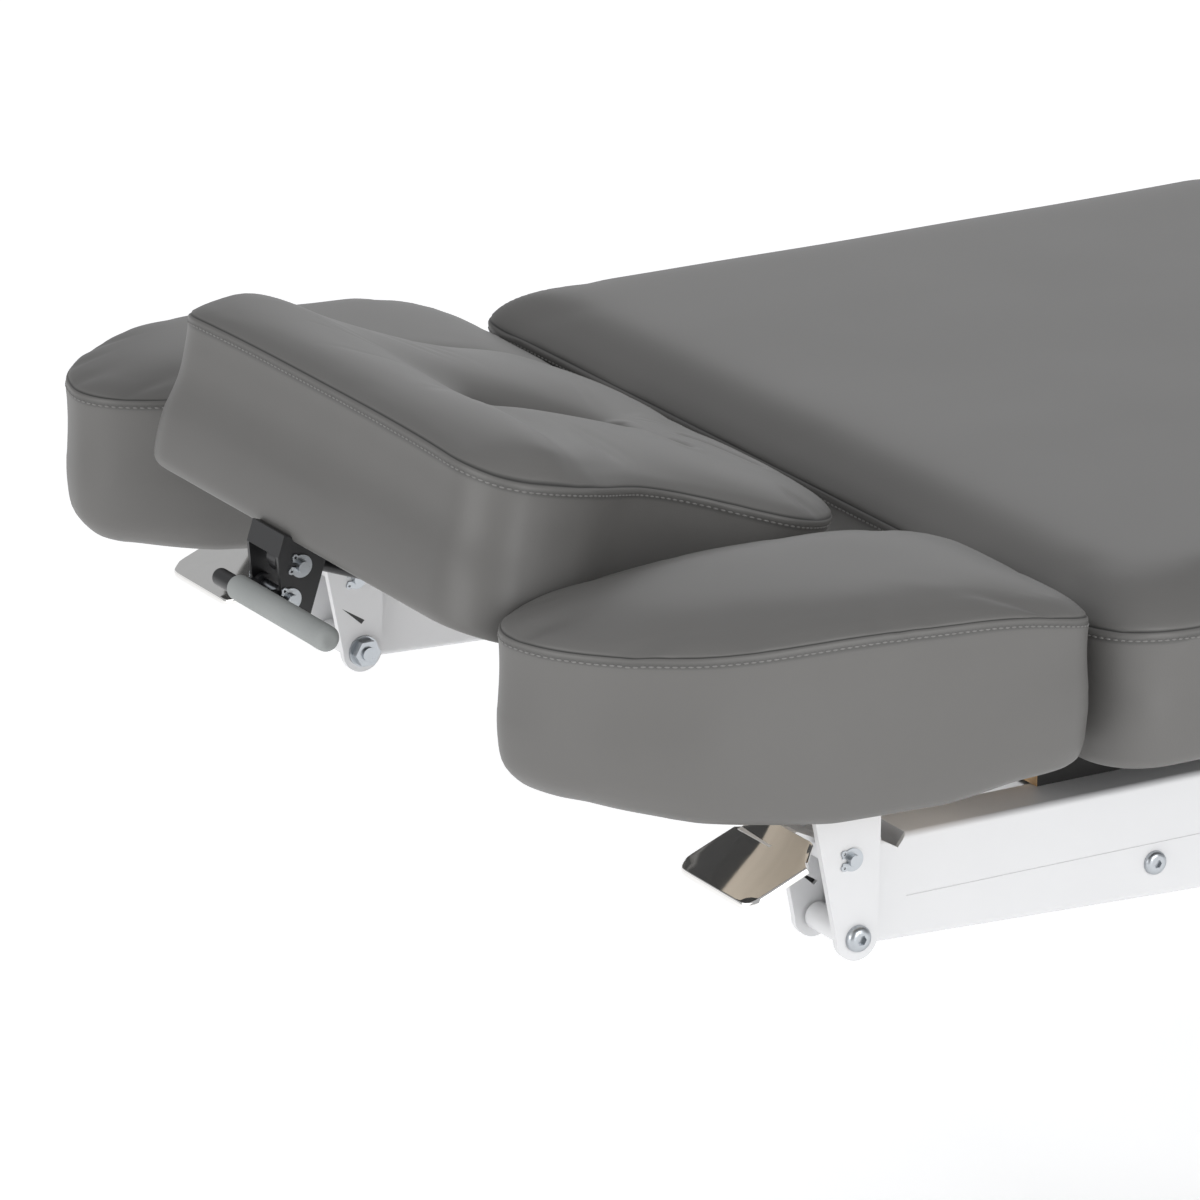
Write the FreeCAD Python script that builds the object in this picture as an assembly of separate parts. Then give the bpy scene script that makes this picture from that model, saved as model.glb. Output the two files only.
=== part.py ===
import FreeCAD, Part
import math
import os

from FreeCAD import Vector

# Electric massage bed, millimetres. The head is at -X, the foot at +X, up is +Z.
# The floor is z = 0, and the lift stands half way up its stroke.

# Heights and the three padded sections
rail_top = 650.0
board_thick = 18.0
base_thick = 20.0
pad_seam_height = 88.0
pad_crown = 18.0
pad_half_width = 405.0
board_half_width = 308.0
board_inset = 7.0
foot_board_inset = 16.0
back_head_x = -606.0
back_hinge_x = 98.0
leg_hinge_x = 492.0
leg_foot_x = 1004.7
section_gap = 16.0
pad_corner = 46.0
hinge_below_seam = 6.0
strap_board_gap = 4.0

# Side rails and cross tubes
rail_y = 318.0
rail_width = 40.0
rail_wall = 3.0
tube_wall = 2.5
seat_rail_depth = 70.0
leg_rail_depth = 60.0
rail_end_gap = 30.0
cross_tube_x = 40.0
cross_tube_z = 25.0
cross_tube_drop = 5.0
rail_head_depth = 69.0
rail_taper = 0.0434
leg_rail_foot_gap = 31.0
head_tube_setback = 50.0

# Raised hinges between the padded sections
knuckle_radius = 7.0
hinge_pin_radius = 4.0
running_clearance = 0.05
strap_thick = 4.0
strap_width = 36.0
strap_offset = 3.0
knuckle_gap = 0.5
knuckle_side_share = 0.32
weld_block_low = 40.0

# Armrest pivots at the head ends of the back rails
arm_pivot_x = -756.0
arm_pivot_drop = 60.0
pivot_tube_radius = 9.0
cheek_end_radius = 15.0
pivot_bolt_radius = 5.0
bolt_head_radius = 8.75
bolt_head_height = 5.5
bolt_head_round = 4.4
bolt_socket_flats = 6.0
bolt_socket_depth = 2.8
nut_across_flats = 17.0
nut_height = 8.0
nut_flange_radius = 11.0
nut_flange_thick = 1.8
bolt_tail = 2.0
cheek_thick = 5.0
cheek_inner_gap = 45.0
cheek_top_width = 52.0
cheek_top_shift = -9.0
bracket_height = 100.0
catch_pin_x = -4.6
catch_pin_z = 53.4
catch_pin_radius = 4.0
catch_pin_tail = 5.0
clip_margin = 3.6
clip_thick = 1.2
clip_gap = 3.2
clip_ear_radius = 2.2
clip_ear_hole = 0.9
clip_ear_turn = 38.0
arm_board_thick = 12.0
arm_pad_lift = 2.0
arm_seam_height = 118.0
arm_crown = 14.0
arm_foot_drop = 15.0
arm_level_reach = 40.0
arm_foot_reach = 160.0
arm_fall_half_width = 110.0
arm_board_share = 0.72
rail_round = 4.0
notch_reach = 34.0
notch_depth = 8.4
notch_slope = 14.4
notch_barb = 6.6
pawl_room_depth = 20.0
rail_crease_drop = 41.5
rail_crease_width = 1.0
rail_crease_depth = 0.5
rail_screw_x = 228.0
rail_screw_drop = 55.0
rail_screw_radius = 8.0
rail_screw_height = 4.2
rail_screw_round = 3.4
screw_socket_flats = 5.0
screw_socket_depth = 2.0
wedge_tip = (-16.0, 33.0)
wedge_high = (1.5, 22.0)
wedge_low = (-1.0, 19.5)

# Release paddle under each armrest
paddle_half_width = 39.0
paddle_thick = 3.0
paddle_corner = 8.0
paddle_offset = 16.0
paddle_head = (-99.5, 52.0)
paddle_foot = (-59.5, 68.0)
paddle_neck = (-40.0, 74.0)
paddle_neck_half_width = 19.0
paddle_boss_radius = 10.0
pawl_half_width = 8.0
pawl_tip_reach = 28.0
pawl_tip_radius = 6.0

# Headrest, modelled level and then tipped up about its neck hinge
head_tilt = 18.0
head_hinge_ahead = 20.0
head_hinge_drop = 8.0
head_length = 321.0
head_setback = 55.0
head_half_width = 205.0
head_lift = 4.0
head_seam_height = 100.0
head_crown = 16.0
head_board_thick = 12.0
head_board_inset = 28.0
head_corner = 52.0
head_neck_corner = 95.0
face_hole_centre = 212.0
face_hole_length = 132.0
face_hole_width = 68.0
face_hole_corner = 32.0
head_lug_y = 106.3
head_plate_thick = 6.0
head_plate_clearance = 0.3
head_eye_radius = 12.0
head_pin_radius = 5.0
head_lug_reach = 150.0
head_lug_start = 78.0

# Release lever and gas strut under the headrest
bracket_front = 378.0
bracket_length = 35.0
bracket_plate_length = 88.0
bracket_half_width = 21.0
bracket_sheet = 3.0
bracket_lip = 15.0
bracket_depth = 47.5
strut_pin_u = 360.0
strut_pin_w = -13.4
lever_pin_u = 361.0
lever_pin_w = -36.0
bracket_pin_radius = 4.0
lever_bar_u = 378.0
lever_bar_w = -41.0
lever_bar_radius = 6.0
lever_bar_near_y = -98.0
lever_bar_far_y = 42.0
lever_arm_width = 10.0
lever_arm_y = 12.0
lever_arm_thick = 4.0
lever_eye_radius = 7.5
lever_bar_round = 2.7
grip_radius = 8.5
grip_near_y = -106.0
grip_far_y = 19.0
grip_round = 5.0
strut_foot_ahead = 10.0
strut_foot_drop = 34.0
strut_tube_radius = 8.0
strut_neck_radius = 5.0
strut_neck_length = 18.0
strut_rod_radius = 4.0
strut_eye_radius = 8.0
strut_eye_clearance = 3.2
strut_eye_half_width = 6.0
strut_eye_wall = 3.0
strut_tube_length = 226.0
strut_rod_inside = 110.0
slide_clearance = 0.3

# Linear actuators under the back and leg sections
actuator_anchor_ahead = 55.0
actuator_anchor_below = 195.0
actuator_lug_reach = 385.0
actuator_lug_below = 180.0
actuator_tube_radius = 22.0
actuator_rod_radius = 10.0
actuator_tube_length = 250.0
actuator_eye_radius = 18.0
actuator_eye_half_width = 14.0
anchor_bar_radius = 10.0
actuator_pin_radius = 6.0
actuator_pin_half_length = 26.0
rod_eye_wall = 6.0
rod_eye_half_width = 12.0
rod_end_gap = 2.0
motor_radius = 26.0
motor_length = 96.0
motor_offset = 50.0
gear_radius = 17.0
lug_plate_y = 16.0
lug_plate_thick = 6.0
back_slot_travel = 18.5
leg_slot_travel = 5.5
slot_side_travel = 9.0
lug_margin = 12.0

# Chassis, lifting columns and floor base
chassis_y = 130.0
chassis_width = 30.0
chassis_height = 60.0
chassis_top_drop = 45.0
chassis_head_x = -247.0
chassis_foot_x = 593.0
stub_x = 40.0
stub_z = 30.0
stub_inset = 55.0
column_head_x = -117.0
column_foot_x = 283.0
column_x = 140.0
column_y = 120.0
column_wall = 4.0
column_clearance = 0.4
column_outer_height = 300.0
column_mid_height = 302.0
column_inner_height = 309.0
column_step = 6.0
lift_half_stroke = 140.0
top_plate_x = 180.0
top_plate_y = 300.0
top_plate_thick = 8.0
spindle_radius = 10.0
drive_tube_radius = 16.0
drive_tube_length = 312.0
spindle_top_gap = 7.0
base_spine_width = 120.0
base_tube_height = 50.0
base_cross_width = 80.0
base_cross_half_length = 300.0
base_head_x = -387.0
base_foot_x = 493.0
base_wall = 3.0
base_clearance = 28.0
end_cap_thick = 4.0
foot_pad_radius = 25.0
foot_pad_height = 10.0
foot_stud_radius = 6.0
foot_inset = 40.0
lift_motor_length = 70.0
lift_motor_width = 90.0
lift_motor_height = 66.0
control_box_length = 110.0
control_box_width = 150.0
control_box_height = 58.0
control_box_corner = 8.0
mains_offset = 22.0
handset_offset = 27.5
socket_width = 28.0
socket_height = 22.0
socket_depth = 8.0
socket_rim = 3.0
handset_socket_radius = 9.0

# Derived places
pad_bottom = rail_top + board_thick + base_thick
hinge_z = pad_bottom + pad_seam_height - hinge_below_seam
arm_pivot_z = rail_top - arm_pivot_drop
head_hinge_x = back_head_x - head_hinge_ahead
head_hinge_z = pad_bottom - head_hinge_drop
cross_tube_top = rail_top - cross_tube_drop
rail_inner_y = rail_y - rail_width / 2
rail_outer_y = rail_y + rail_width / 2
half_gap = section_gap / 2
chassis_top = rail_top - chassis_top_drop
chassis_bottom = chassis_top - chassis_height
base_top = base_clearance + base_tube_height
Y_AXIS = Vector(0, 1, 0)


def box(x0, x1, y0, y1, z0, z1):
    return Part.makeBox(x1 - x0, y1 - y0, z1 - z0, Vector(x0, y0, z0))


def bar_y(x, z, radius, y0, y1):
    return Part.makeCylinder(radius, y1 - y0, Vector(x, y0, z), Y_AXIS)


def bar_z(x, y, radius, z0, z1):
    return Part.makeCylinder(radius, z1 - z0, Vector(x, y, z0))


def plate(points, y0, y1):
    """Flat plate from an XZ outline, between two Y planes."""
    corners = [Vector(x, y0, z) for x, z in points]
    face = Part.Face(Part.makePolygon(corners + corners[:1]))
    return face.extrude(Vector(0, y1 - y0, 0))


def hexagon(x, z, across_flats, y0, y1):
    corner = across_flats / math.sqrt(3)
    angles = [math.radians(60 * k) for k in range(6)]
    return plate([(x + corner * math.cos(a), z + corner * math.sin(a)) for a in angles], y0, y1)


def domed_head(x, z, radius, edge_round, flats, depth, face, outward):
    """Round screw head on the plane y = face, domed on its outward side, with a hexagon socket."""
    height, way = abs(outward), math.copysign(1.0, outward)
    head = bar_y(x, z, radius, *sorted((face, face + outward)))
    rims = [edge for edge in head.Edges if edge.Closed]
    rim = max(rims, key=lambda edge: way * edge.CenterOfMass.y)
    socket = hexagon(x, z, flats, *sorted((face + way * (height - depth), face + way * (height + 1))))
    return head.makeFillet(edge_round, [rim]).cut(socket)


def fuse(first, *others):
    return first.multiFuse(list(others)).removeSplitter()


def tube_x(x0, x1, y0, y1, z0, z1, wall):
    outer = box(x0, x1, y0, y1, z0, z1)
    return outer.cut(box(x0 - 1, x1 + 1, y0 + wall, y1 - wall, z0 + wall, z1 - wall))


def tube_y(x0, x1, y0, y1, z0, z1, wall):
    outer = box(x0, x1, y0, y1, z0, z1)
    return outer.cut(box(x0 + wall, x1 - wall, y0 - 1, y1 + 1, z0 + wall, z1 - wall))


def tube_z(x, y, size_x, size_y, z0, z1, wall):
    outer = box(x - size_x / 2, x + size_x / 2, y - size_y / 2, y + size_y / 2, z0, z1)
    inner_x = size_x / 2 - wall
    inner_y = size_y / 2 - wall
    return outer.cut(box(x - inner_x, x + inner_x, y - inner_y, y + inner_y, z0 - 1, z1 + 1))


def pair(make):
    """The same piece on the near and the far side."""
    return Part.makeCompound([make(-1), make(1)])


def mirror_span(side, inner, outer):
    """A span across Y, given from the centre plane outwards, on one side of the bed."""
    return (inner, outer) if side > 0 else (-outer, -inner)


def rounded_outline(x0, x1, half_width, head_radius, foot_radius, z):
    """Rounded rectangle with its own corner radius at each end."""
    bend = 1 - math.sqrt(0.5)
    h = head_radius
    f = foot_radius
    w = half_width
    points = [
        Vector(x0, w - h, z), Vector(x0 + h * bend, w - h * bend, z), Vector(x0 + h, w, z),
        Vector(x1 - f, w, z), Vector(x1 - f * bend, w - f * bend, z), Vector(x1, w - f, z),
        Vector(x1, f - w, z), Vector(x1 - f * bend, f * bend - w, z), Vector(x1 - f, -w, z),
        Vector(x0 + h, -w, z), Vector(x0 + h * bend, h * bend - w, z), Vector(x0, h - w, z),
    ]
    edges = []
    for corner in range(4):
        start, middle, end = points[3 * corner:3 * corner + 3]
        following = points[(3 * corner + 3) % 12]
        edges.append(Part.Arc(start, middle, end).toShape())
        edges.append(Part.LineSegment(end, following).toShape())
    return Part.Wire(edges)


def cushion_levels(seam, crown):
    """Height and inset of each level: rounded underside, drawn-in side, seam and crown."""
    return [
        (0.0, 14.0), (0.05 * seam, 6.0), (0.16 * seam, 1.5), (0.32 * seam, 0.5),
        (0.62 * seam, 3.5), (0.88 * seam, 2.0), (seam, 0.0),
        (seam + 0.5 * crown, 13.0), (seam + 0.85 * crown, 42.0), (seam + crown, 96.0),
    ]


def cushion(x0, x1, half_width, head_radius, foot_radius, z, seam, crown):
    wires = []
    for height, inset in cushion_levels(seam, crown):
        head = max(head_radius - inset, 4.0)
        foot = max(foot_radius - inset, 4.0)
        wires.append(rounded_outline(x0 + inset, x1 - inset, half_width - inset, head, foot, z + height))
    return Part.makeLoft(wires, True, True)


def hinge_strap(hinge_x, rail_end_x, side, outward, knuckle_in_middle):
    """Upright strap in the gap between two pads, welded to a rail end, with its knuckles."""
    y_low = rail_y - strap_width / 2
    side_length = strap_width * knuckle_side_share
    ends = [(y_low, y_low + side_length), (y_low + strap_width - side_length, y_low + strap_width)]
    middle = [(y_low + side_length + knuckle_gap, y_low + strap_width - side_length - knuckle_gap)]
    strap_near = hinge_x + outward * strap_offset
    strap_far = hinge_x + outward * (strap_offset + strap_thick)
    x_pair = sorted((strap_near, strap_far))
    strap_y = mirror_span(side, y_low, y_low + strap_width)
    strap_top = hinge_z - knuckle_radius - 1.0
    block_x = sorted((strap_near, rail_end_x))
    solids = [box(*block_x, *strap_y, rail_top - weld_block_low, rail_top - 2.0)]
    solids.append(box(*x_pair, *strap_y, rail_top - weld_block_low, strap_top))
    for inner, outer in (middle if knuckle_in_middle else ends):
        span = mirror_span(side, inner, outer)
        solids.append(box(*x_pair, *span, strap_top - 1.0, hinge_z))
        solids.append(bar_y(hinge_x, hinge_z, knuckle_radius, *span))
    clearance = running_clearance if knuckle_in_middle else 0.0
    bore = bar_y(hinge_x, hinge_z, hinge_pin_radius + clearance, *strap_y)
    return fuse(*solids).cut(bore)


def section_boards(x0, x1):
    """Plywood board on the rails and the pad's own base on top of it."""
    board = box(x0, x1, -board_half_width, board_half_width, rail_top, rail_top + board_thick)
    base_z = rail_top + board_thick
    base = box(x0, x1, -board_half_width, board_half_width, base_z, pad_bottom)
    return Part.makeCompound([board, base])


def section_pad(x0, x1):
    return cushion(x0, x1, pad_half_width, pad_corner, pad_corner, pad_bottom, pad_seam_height, pad_crown)


def cross_tube(x):
    return tube_y(x - cross_tube_x / 2, x + cross_tube_x / 2, -rail_inner_y, rail_inner_y,
                  cross_tube_top - cross_tube_z, cross_tube_top, tube_wall)


# Floor base
def base_crosses():
    tubes = []
    for x in (base_head_x, base_foot_x):
        tubes.append(tube_y(x - base_cross_width / 2, x + base_cross_width / 2,
                            -base_cross_half_length, base_cross_half_length,
                            base_clearance, base_top, base_wall))
    return Part.makeCompound(tubes)


def base_caps():
    caps = []
    for x in (base_head_x, base_foot_x):
        for side in (-1, 1):
            span = mirror_span(side, base_cross_half_length, base_cross_half_length + end_cap_thick)
            half = base_cross_width / 2
            caps.append(box(x - half, x + half, *span, base_clearance, base_top))
    return Part.makeCompound(caps)


def levelling_feet():
    feet = []
    for x in (base_head_x, base_foot_x):
        for side in (-1, 1):
            y = side * (base_cross_half_length - foot_inset)
            pad = bar_z(x, y, foot_pad_radius, 0, foot_pad_height)
            stud = bar_z(x, y, foot_stud_radius, foot_pad_height - 1, base_clearance)
            feet.append(fuse(pad, stud))
    return Part.makeCompound(feet)


def column_parts():
    """Outer, middle and inner tubes of both lifting columns and the spindles inside."""
    step = column_wall + column_clearance
    outers, mids, inners, spindles = [], [], [], []
    mid_low = base_top + column_step + lift_half_stroke / 2
    inner_top = chassis_bottom - top_plate_thick
    inner_low = inner_top - column_inner_height
    lowest_inner_top = inner_top - lift_half_stroke
    for x in (column_head_x, column_foot_x):
        outer_top = base_top + column_outer_height
        outers.append(tube_z(x, 0, column_x, column_y, base_top, outer_top, column_wall))
        mids.append(tube_z(x, 0, column_x - 2 * step, column_y - 2 * step,
                           mid_low, mid_low + column_mid_height, column_wall))
        shaft = tube_z(x, 0, column_x - 4 * step, column_y - 4 * step, inner_low, inner_top, column_wall)
        top = box(x - top_plate_x / 2, x + top_plate_x / 2, -top_plate_y / 2, top_plate_y / 2,
                  inner_top, chassis_bottom)
        drive_low = inner_top - drive_tube_length
        drive = bar_z(x, 0, drive_tube_radius, drive_low, inner_top)
        drive_bore = bar_z(x, 0, spindle_radius + slide_clearance, drive_low, inner_top)
        inners.append(fuse(shaft, top, drive).cut(drive_bore))
        spindles.append(bar_z(x, 0, spindle_radius, base_top, lowest_inner_top - spindle_top_gap))
    return outers, mids, inners, spindles


def lift_motors():
    """Gear motors beside the foot of each column, on the inner side."""
    head_face = column_head_x + column_x / 2
    foot_face = column_foot_x - column_x / 2
    half = lift_motor_width / 2
    spans = [(head_face, head_face + lift_motor_length), (foot_face - lift_motor_length, foot_face)]
    top = base_top + lift_motor_height
    return Part.makeCompound([box(*span, -half, half, base_top, top) for span in spans])


def control_box():
    middle = (column_head_x + column_foot_x) / 2
    case = box(middle - control_box_length / 2, middle + control_box_length / 2,
               -control_box_width / 2, control_box_width / 2, base_top, base_top + control_box_height)
    upright = [edge for edge in case.Edges if abs(edge.tangentAt(edge.FirstParameter).z) > 0.9]
    return case.makeFillet(control_box_corner, upright)


def sockets():
    """Mains inlet and handset socket on the far face of the control box."""
    middle = (column_head_x + column_foot_x) / 2
    face_y = control_box_width / 2
    z = base_top + control_box_height / 2
    mains_x = middle - mains_offset
    inlet = box(mains_x - socket_width / 2, mains_x + socket_width / 2, face_y, face_y + socket_depth,
                z - socket_height / 2, z + socket_height / 2)
    well = box(mains_x - socket_width / 2 + socket_rim, mains_x + socket_width / 2 - socket_rim,
               face_y + socket_rim, face_y + socket_depth + 1,
               z - socket_height / 2 + socket_rim, z + socket_height / 2 - socket_rim)
    handset_x = middle + handset_offset
    ring = bar_y(handset_x, z, handset_socket_radius, face_y, face_y + socket_depth)
    ring = ring.cut(bar_y(handset_x, z, handset_socket_radius - socket_rim, face_y + socket_rim,
                          face_y + socket_depth + 1))
    return Part.makeCompound([inlet.cut(well), ring])


# Chassis and seat section
def chassis_tube(side):
    span = mirror_span(side, chassis_y - chassis_width / 2, chassis_y + chassis_width / 2)
    return tube_x(chassis_head_x, chassis_foot_x, *span, chassis_bottom, chassis_top, tube_wall)


def anchor_bars():
    reach = chassis_y - chassis_width / 2
    back_x = back_hinge_x - actuator_anchor_ahead
    leg_x = leg_hinge_x + actuator_anchor_ahead
    z = hinge_z - actuator_anchor_below
    return Part.makeCompound([bar_y(x, z, anchor_bar_radius, -reach, reach) for x in (back_x, leg_x)])


def seat_stubs():
    stubs = []
    for x in (back_hinge_x + rail_end_gap + stub_inset, leg_hinge_x - rail_end_gap - stub_inset):
        for side in (-1, 1):
            span = mirror_span(side, chassis_y + chassis_width / 2, rail_inner_y)
            low = chassis_top - stub_z
            stubs.append(tube_y(x - stub_x / 2, x + stub_x / 2, *span, low, chassis_top, tube_wall))
    return Part.makeCompound(stubs)


def seat_rail(side):
    span = mirror_span(side, rail_inner_y, rail_outer_y)
    return tube_x(back_hinge_x + rail_end_gap, leg_hinge_x - rail_end_gap, *span,
                  rail_top - seat_rail_depth, rail_top, rail_wall)


def seat_straps():
    straps = []
    for side in (-1, 1):
        straps.append(hinge_strap(back_hinge_x, back_hinge_x + rail_end_gap, side, 1, False))
        straps.append(hinge_strap(leg_hinge_x, leg_hinge_x - rail_end_gap, side, -1, False))
    return Part.makeCompound(straps)


def hinge_pins():
    pins = []
    for x in (back_hinge_x, leg_hinge_x):
        for side in (-1, 1):
            span = mirror_span(side, rail_y - strap_width / 2, rail_y + strap_width / 2)
            pins.append(bar_y(x, hinge_z, hinge_pin_radius, *span))
    return Part.makeCompound(pins)


# Back section
def back_rail(side):
    """Tapered box rail with the armrest's pivot tube and catch notch at its head end."""
    span = mirror_span(side, rail_inner_y, rail_outer_y)
    head_x = arm_pivot_x + pivot_tube_radius - rail_wall
    foot_x = back_hinge_x - rail_end_gap
    notch_x = arm_pivot_x + notch_reach
    barb_x = notch_x + notch_barb
    head_low = rail_top - rail_head_depth
    foot_low = head_low - rail_taper * (foot_x - head_x)
    wall = rail_wall
    outline = [(head_x, head_low), (foot_x, foot_low), (foot_x, rail_top), (head_x, rail_top)]
    shell = plate(outline, *span)
    long_edges = [edge for edge in shell.Edges if edge.Length > (foot_x - head_x) / 2]
    shell = shell.makeFillet(rail_round, long_edges)
    hollow = [
        (barb_x + wall, head_low - rail_taper * (barb_x - head_x) + wall), (foot_x + 1, foot_low + wall),
        (foot_x + 1, rail_top - wall), (barb_x + wall, rail_top - wall),
    ]
    notch = [(notch_x - notch_slope, rail_top), (notch_x, rail_top - notch_depth), (barb_x, rail_top)]
    crease_z = rail_top - rail_crease_drop
    crease = box(barb_x, foot_x + 1, *mirror_span(side, rail_outer_y - rail_crease_depth, rail_outer_y),
                 crease_z - rail_crease_width / 2, crease_z + rail_crease_width / 2)
    inner = (span[0] + wall, span[1] - wall)
    pawl_room = box(head_x - 1, barb_x, *inner, rail_top - pawl_room_depth, rail_top + 1)
    for space in (plate(hollow, *inner), plate(notch, *span), pawl_room, crease):
        shell = shell.cut(space)
    boss = bar_y(arm_pivot_x, arm_pivot_z, pivot_tube_radius, *span)
    bore = bar_y(arm_pivot_x, arm_pivot_z, pivot_bolt_radius + running_clearance, *span)
    return fuse(shell, boss).cut(bore)


def actuator_lug(lug_x, slot_travel):
    """Two slotted plates under a cross tube; the slot frees the push pin."""
    lug_z = hinge_z - actuator_lug_below
    tube_low = cross_tube_top - cross_tube_z
    radius = actuator_pin_radius + slot_side_travel
    half_width = radius + lug_margin
    reach = max(actuator_pin_radius + slot_travel, radius)
    plates = []
    for side in (-1, 1):
        span = mirror_span(side, lug_plate_y, lug_plate_y + lug_plate_thick)
        sheet = box(lug_x - half_width, lug_x + half_width, *span, lug_z - reach - lug_margin, tube_low)
        run = reach - radius
        for end in (-1, 1):
            sheet = sheet.cut(bar_y(lug_x, lug_z + end * run, radius, *span))
        if run > 0:
            sheet = sheet.cut(box(lug_x - radius, lug_x + radius, *span, lug_z - run, lug_z + run))
        plates.append(sheet)
    return Part.makeCompound(plates)


def back_straps():
    foot_x = back_hinge_x - rail_end_gap
    return pair(lambda side: hinge_strap(back_hinge_x, foot_x, side, -1, True))


def head_tube_x():
    return back_head_x + head_tube_setback - cross_tube_x / 2


def head_carrier():
    """Two upright plates on the head cross tube that hold the neck hinge, and the strut's ears."""
    face_x = head_tube_x() - cross_tube_x / 2
    low = cross_tube_top - cross_tube_z
    outer = head_lug_y - head_plate_clearance
    outline = [
        (face_x, low + 1), (face_x, cross_tube_top), (back_head_x + 5.0, rail_top + 2.0),
        (head_hinge_x + head_eye_radius, head_hinge_z), (head_hinge_x - head_eye_radius, head_hinge_z),
        (head_hinge_x - head_eye_radius + 2.0, head_hinge_z - 12.0),
    ]

    def side_plate(side):
        span = mirror_span(side, outer - head_plate_thick, outer)
        eye = bar_y(head_hinge_x, head_hinge_z, head_eye_radius, *span)
        bore = bar_y(head_hinge_x, head_hinge_z, head_pin_radius, *span)
        return fuse(plate(outline, *span), eye).cut(bore)

    def strut_ear(side):
        inner = strut_eye_half_width + slide_clearance
        span = mirror_span(side, inner, inner + lever_arm_thick)
        x, z = strut_foot()
        ear = [(face_x, low + 2), (face_x, cross_tube_top), (x, z + strut_eye_radius),
               (x - strut_eye_radius, z), (x - strut_eye_radius, z - 6.0)]
        return plate(ear, *span).cut(bar_y(x, z, bracket_pin_radius, *span))

    return Part.makeCompound([side_plate(-1), side_plate(1), strut_ear(-1), strut_ear(1)])


def strut_foot():
    return head_hinge_x + strut_foot_ahead, head_hinge_z - strut_foot_drop


def head_pins():
    x, z = strut_foot()
    outer = head_lug_y + head_plate_thick
    inner = head_lug_y - head_plate_clearance - head_plate_thick
    strut_reach = strut_eye_half_width + slide_clearance + lever_arm_thick
    pins = [bar_y(head_hinge_x, head_hinge_z, head_pin_radius, *mirror_span(side, inner - 2, outer + 2))
            for side in (-1, 1)]
    pins.append(bar_y(x, z, bracket_pin_radius, -strut_reach - 2, strut_reach + 2))
    return Part.makeCompound(pins)


def rail_screws():
    """Domed screw on the outer face of each back rail."""
    x = arm_pivot_x + rail_screw_x
    z = rail_top - rail_screw_drop

    def screw(side):
        return domed_head(x, z, rail_screw_radius, rail_screw_round, screw_socket_flats, screw_socket_depth,
                          side * rail_outer_y, side * rail_screw_height)

    return pair(screw)


# Headrest
def tip_up(shape):
    """Tip a headrest piece from level to its resting angle."""
    tipped = shape.copy()
    tipped.rotate(Vector(head_hinge_x, 0, head_hinge_z), Y_AXIS, head_tilt)
    return tipped


def head_xz(u, w):
    """Level place of a point u ahead of the neck hinge and w above it."""
    return head_hinge_x - u, head_hinge_z + w


def tipped_xz(u, w):
    angle = math.radians(head_tilt)
    x = head_hinge_x - u * math.cos(angle) + w * math.sin(angle)
    return x, head_hinge_z + u * math.sin(angle) + w * math.cos(angle)


def face_hole():
    """Oval way through the headrest for the face."""
    x, z = head_xz(face_hole_centre, 0)
    half = face_hole_length / 2
    outline = rounded_outline(x - half, x + half, face_hole_width / 2, face_hole_corner, face_hole_corner, z)
    return Part.Face(outline).extrude(Vector(0, 0, 2 * head_lift + head_seam_height + head_crown))


def head_board_level():
    x0 = head_hinge_x - head_setback - head_length + head_board_inset
    x1 = head_hinge_x - head_setback - head_board_inset
    z = head_hinge_z + head_lift
    ease = head_board_inset / 2
    outline = rounded_outline(x0, x1, head_half_width - head_board_inset,
                              head_corner - ease, head_neck_corner - ease, z)
    return Part.Face(outline).extrude(Vector(0, 0, head_board_thick))


def head_cushion():
    x1 = head_hinge_x - head_setback
    pad = cushion(x1 - head_length, x1, head_half_width, head_corner, head_neck_corner,
                  head_hinge_z + head_lift, head_seam_height, head_crown)
    return tip_up(pad.cut(head_board_level()).cut(face_hole()))


def head_board():
    return tip_up(head_board_level().cut(face_hole()))


def head_lugs():
    """Hinge plates screwed under the headrest board."""
    under = head_hinge_z + head_lift
    outline = [
        (head_hinge_x + head_eye_radius * 0.6, head_hinge_z - head_eye_radius * 0.8),
        (head_hinge_x + head_eye_radius * 0.6, head_hinge_z),
        (head_hinge_x - head_lug_start, under), (head_hinge_x - head_lug_reach, under),
        (head_hinge_x - head_lug_reach, under - 6.0),
        (head_hinge_x - head_eye_radius * 0.6, head_hinge_z - head_eye_radius * 0.8),
    ]

    def lug(side):
        span = mirror_span(side, head_lug_y, head_lug_y + head_plate_thick)
        eye = bar_y(head_hinge_x, head_hinge_z, head_eye_radius, *span)
        bore = bar_y(head_hinge_x, head_hinge_z, head_pin_radius + running_clearance, *span)
        return tip_up(fuse(plate(outline, *span), eye).cut(bore))

    return pair(lug)


def head_bracket():
    """Folded bracket at the head end: top plate, front lip and two cheeks."""
    front, top = head_xz(bracket_front, head_lift)
    back = front + bracket_length
    half = bracket_half_width
    sheet = bracket_sheet
    top_plate = box(front, front + bracket_plate_length, -half, half, top - sheet, top)
    lip = box(front, front + sheet, -half, half, top - bracket_lip, top)
    solids = [top_plate, lip]
    cheek = [(front, top), (back, top), (back, top - bracket_depth), (front + 14.0, top - bracket_depth),
             (front, top - bracket_lip)]
    for side in (-1, 1):
        solids.append(plate(cheek, *mirror_span(side, half - sheet, half)))
    bores = []
    for u, w in ((strut_pin_u, strut_pin_w), (lever_pin_u, lever_pin_w)):
        bores.append(bar_y(*head_xz(u, w), bracket_pin_radius, -half - 1, half + 1))
    return tip_up(fuse(*solids).cut(Part.makeCompound(bores)))


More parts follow.
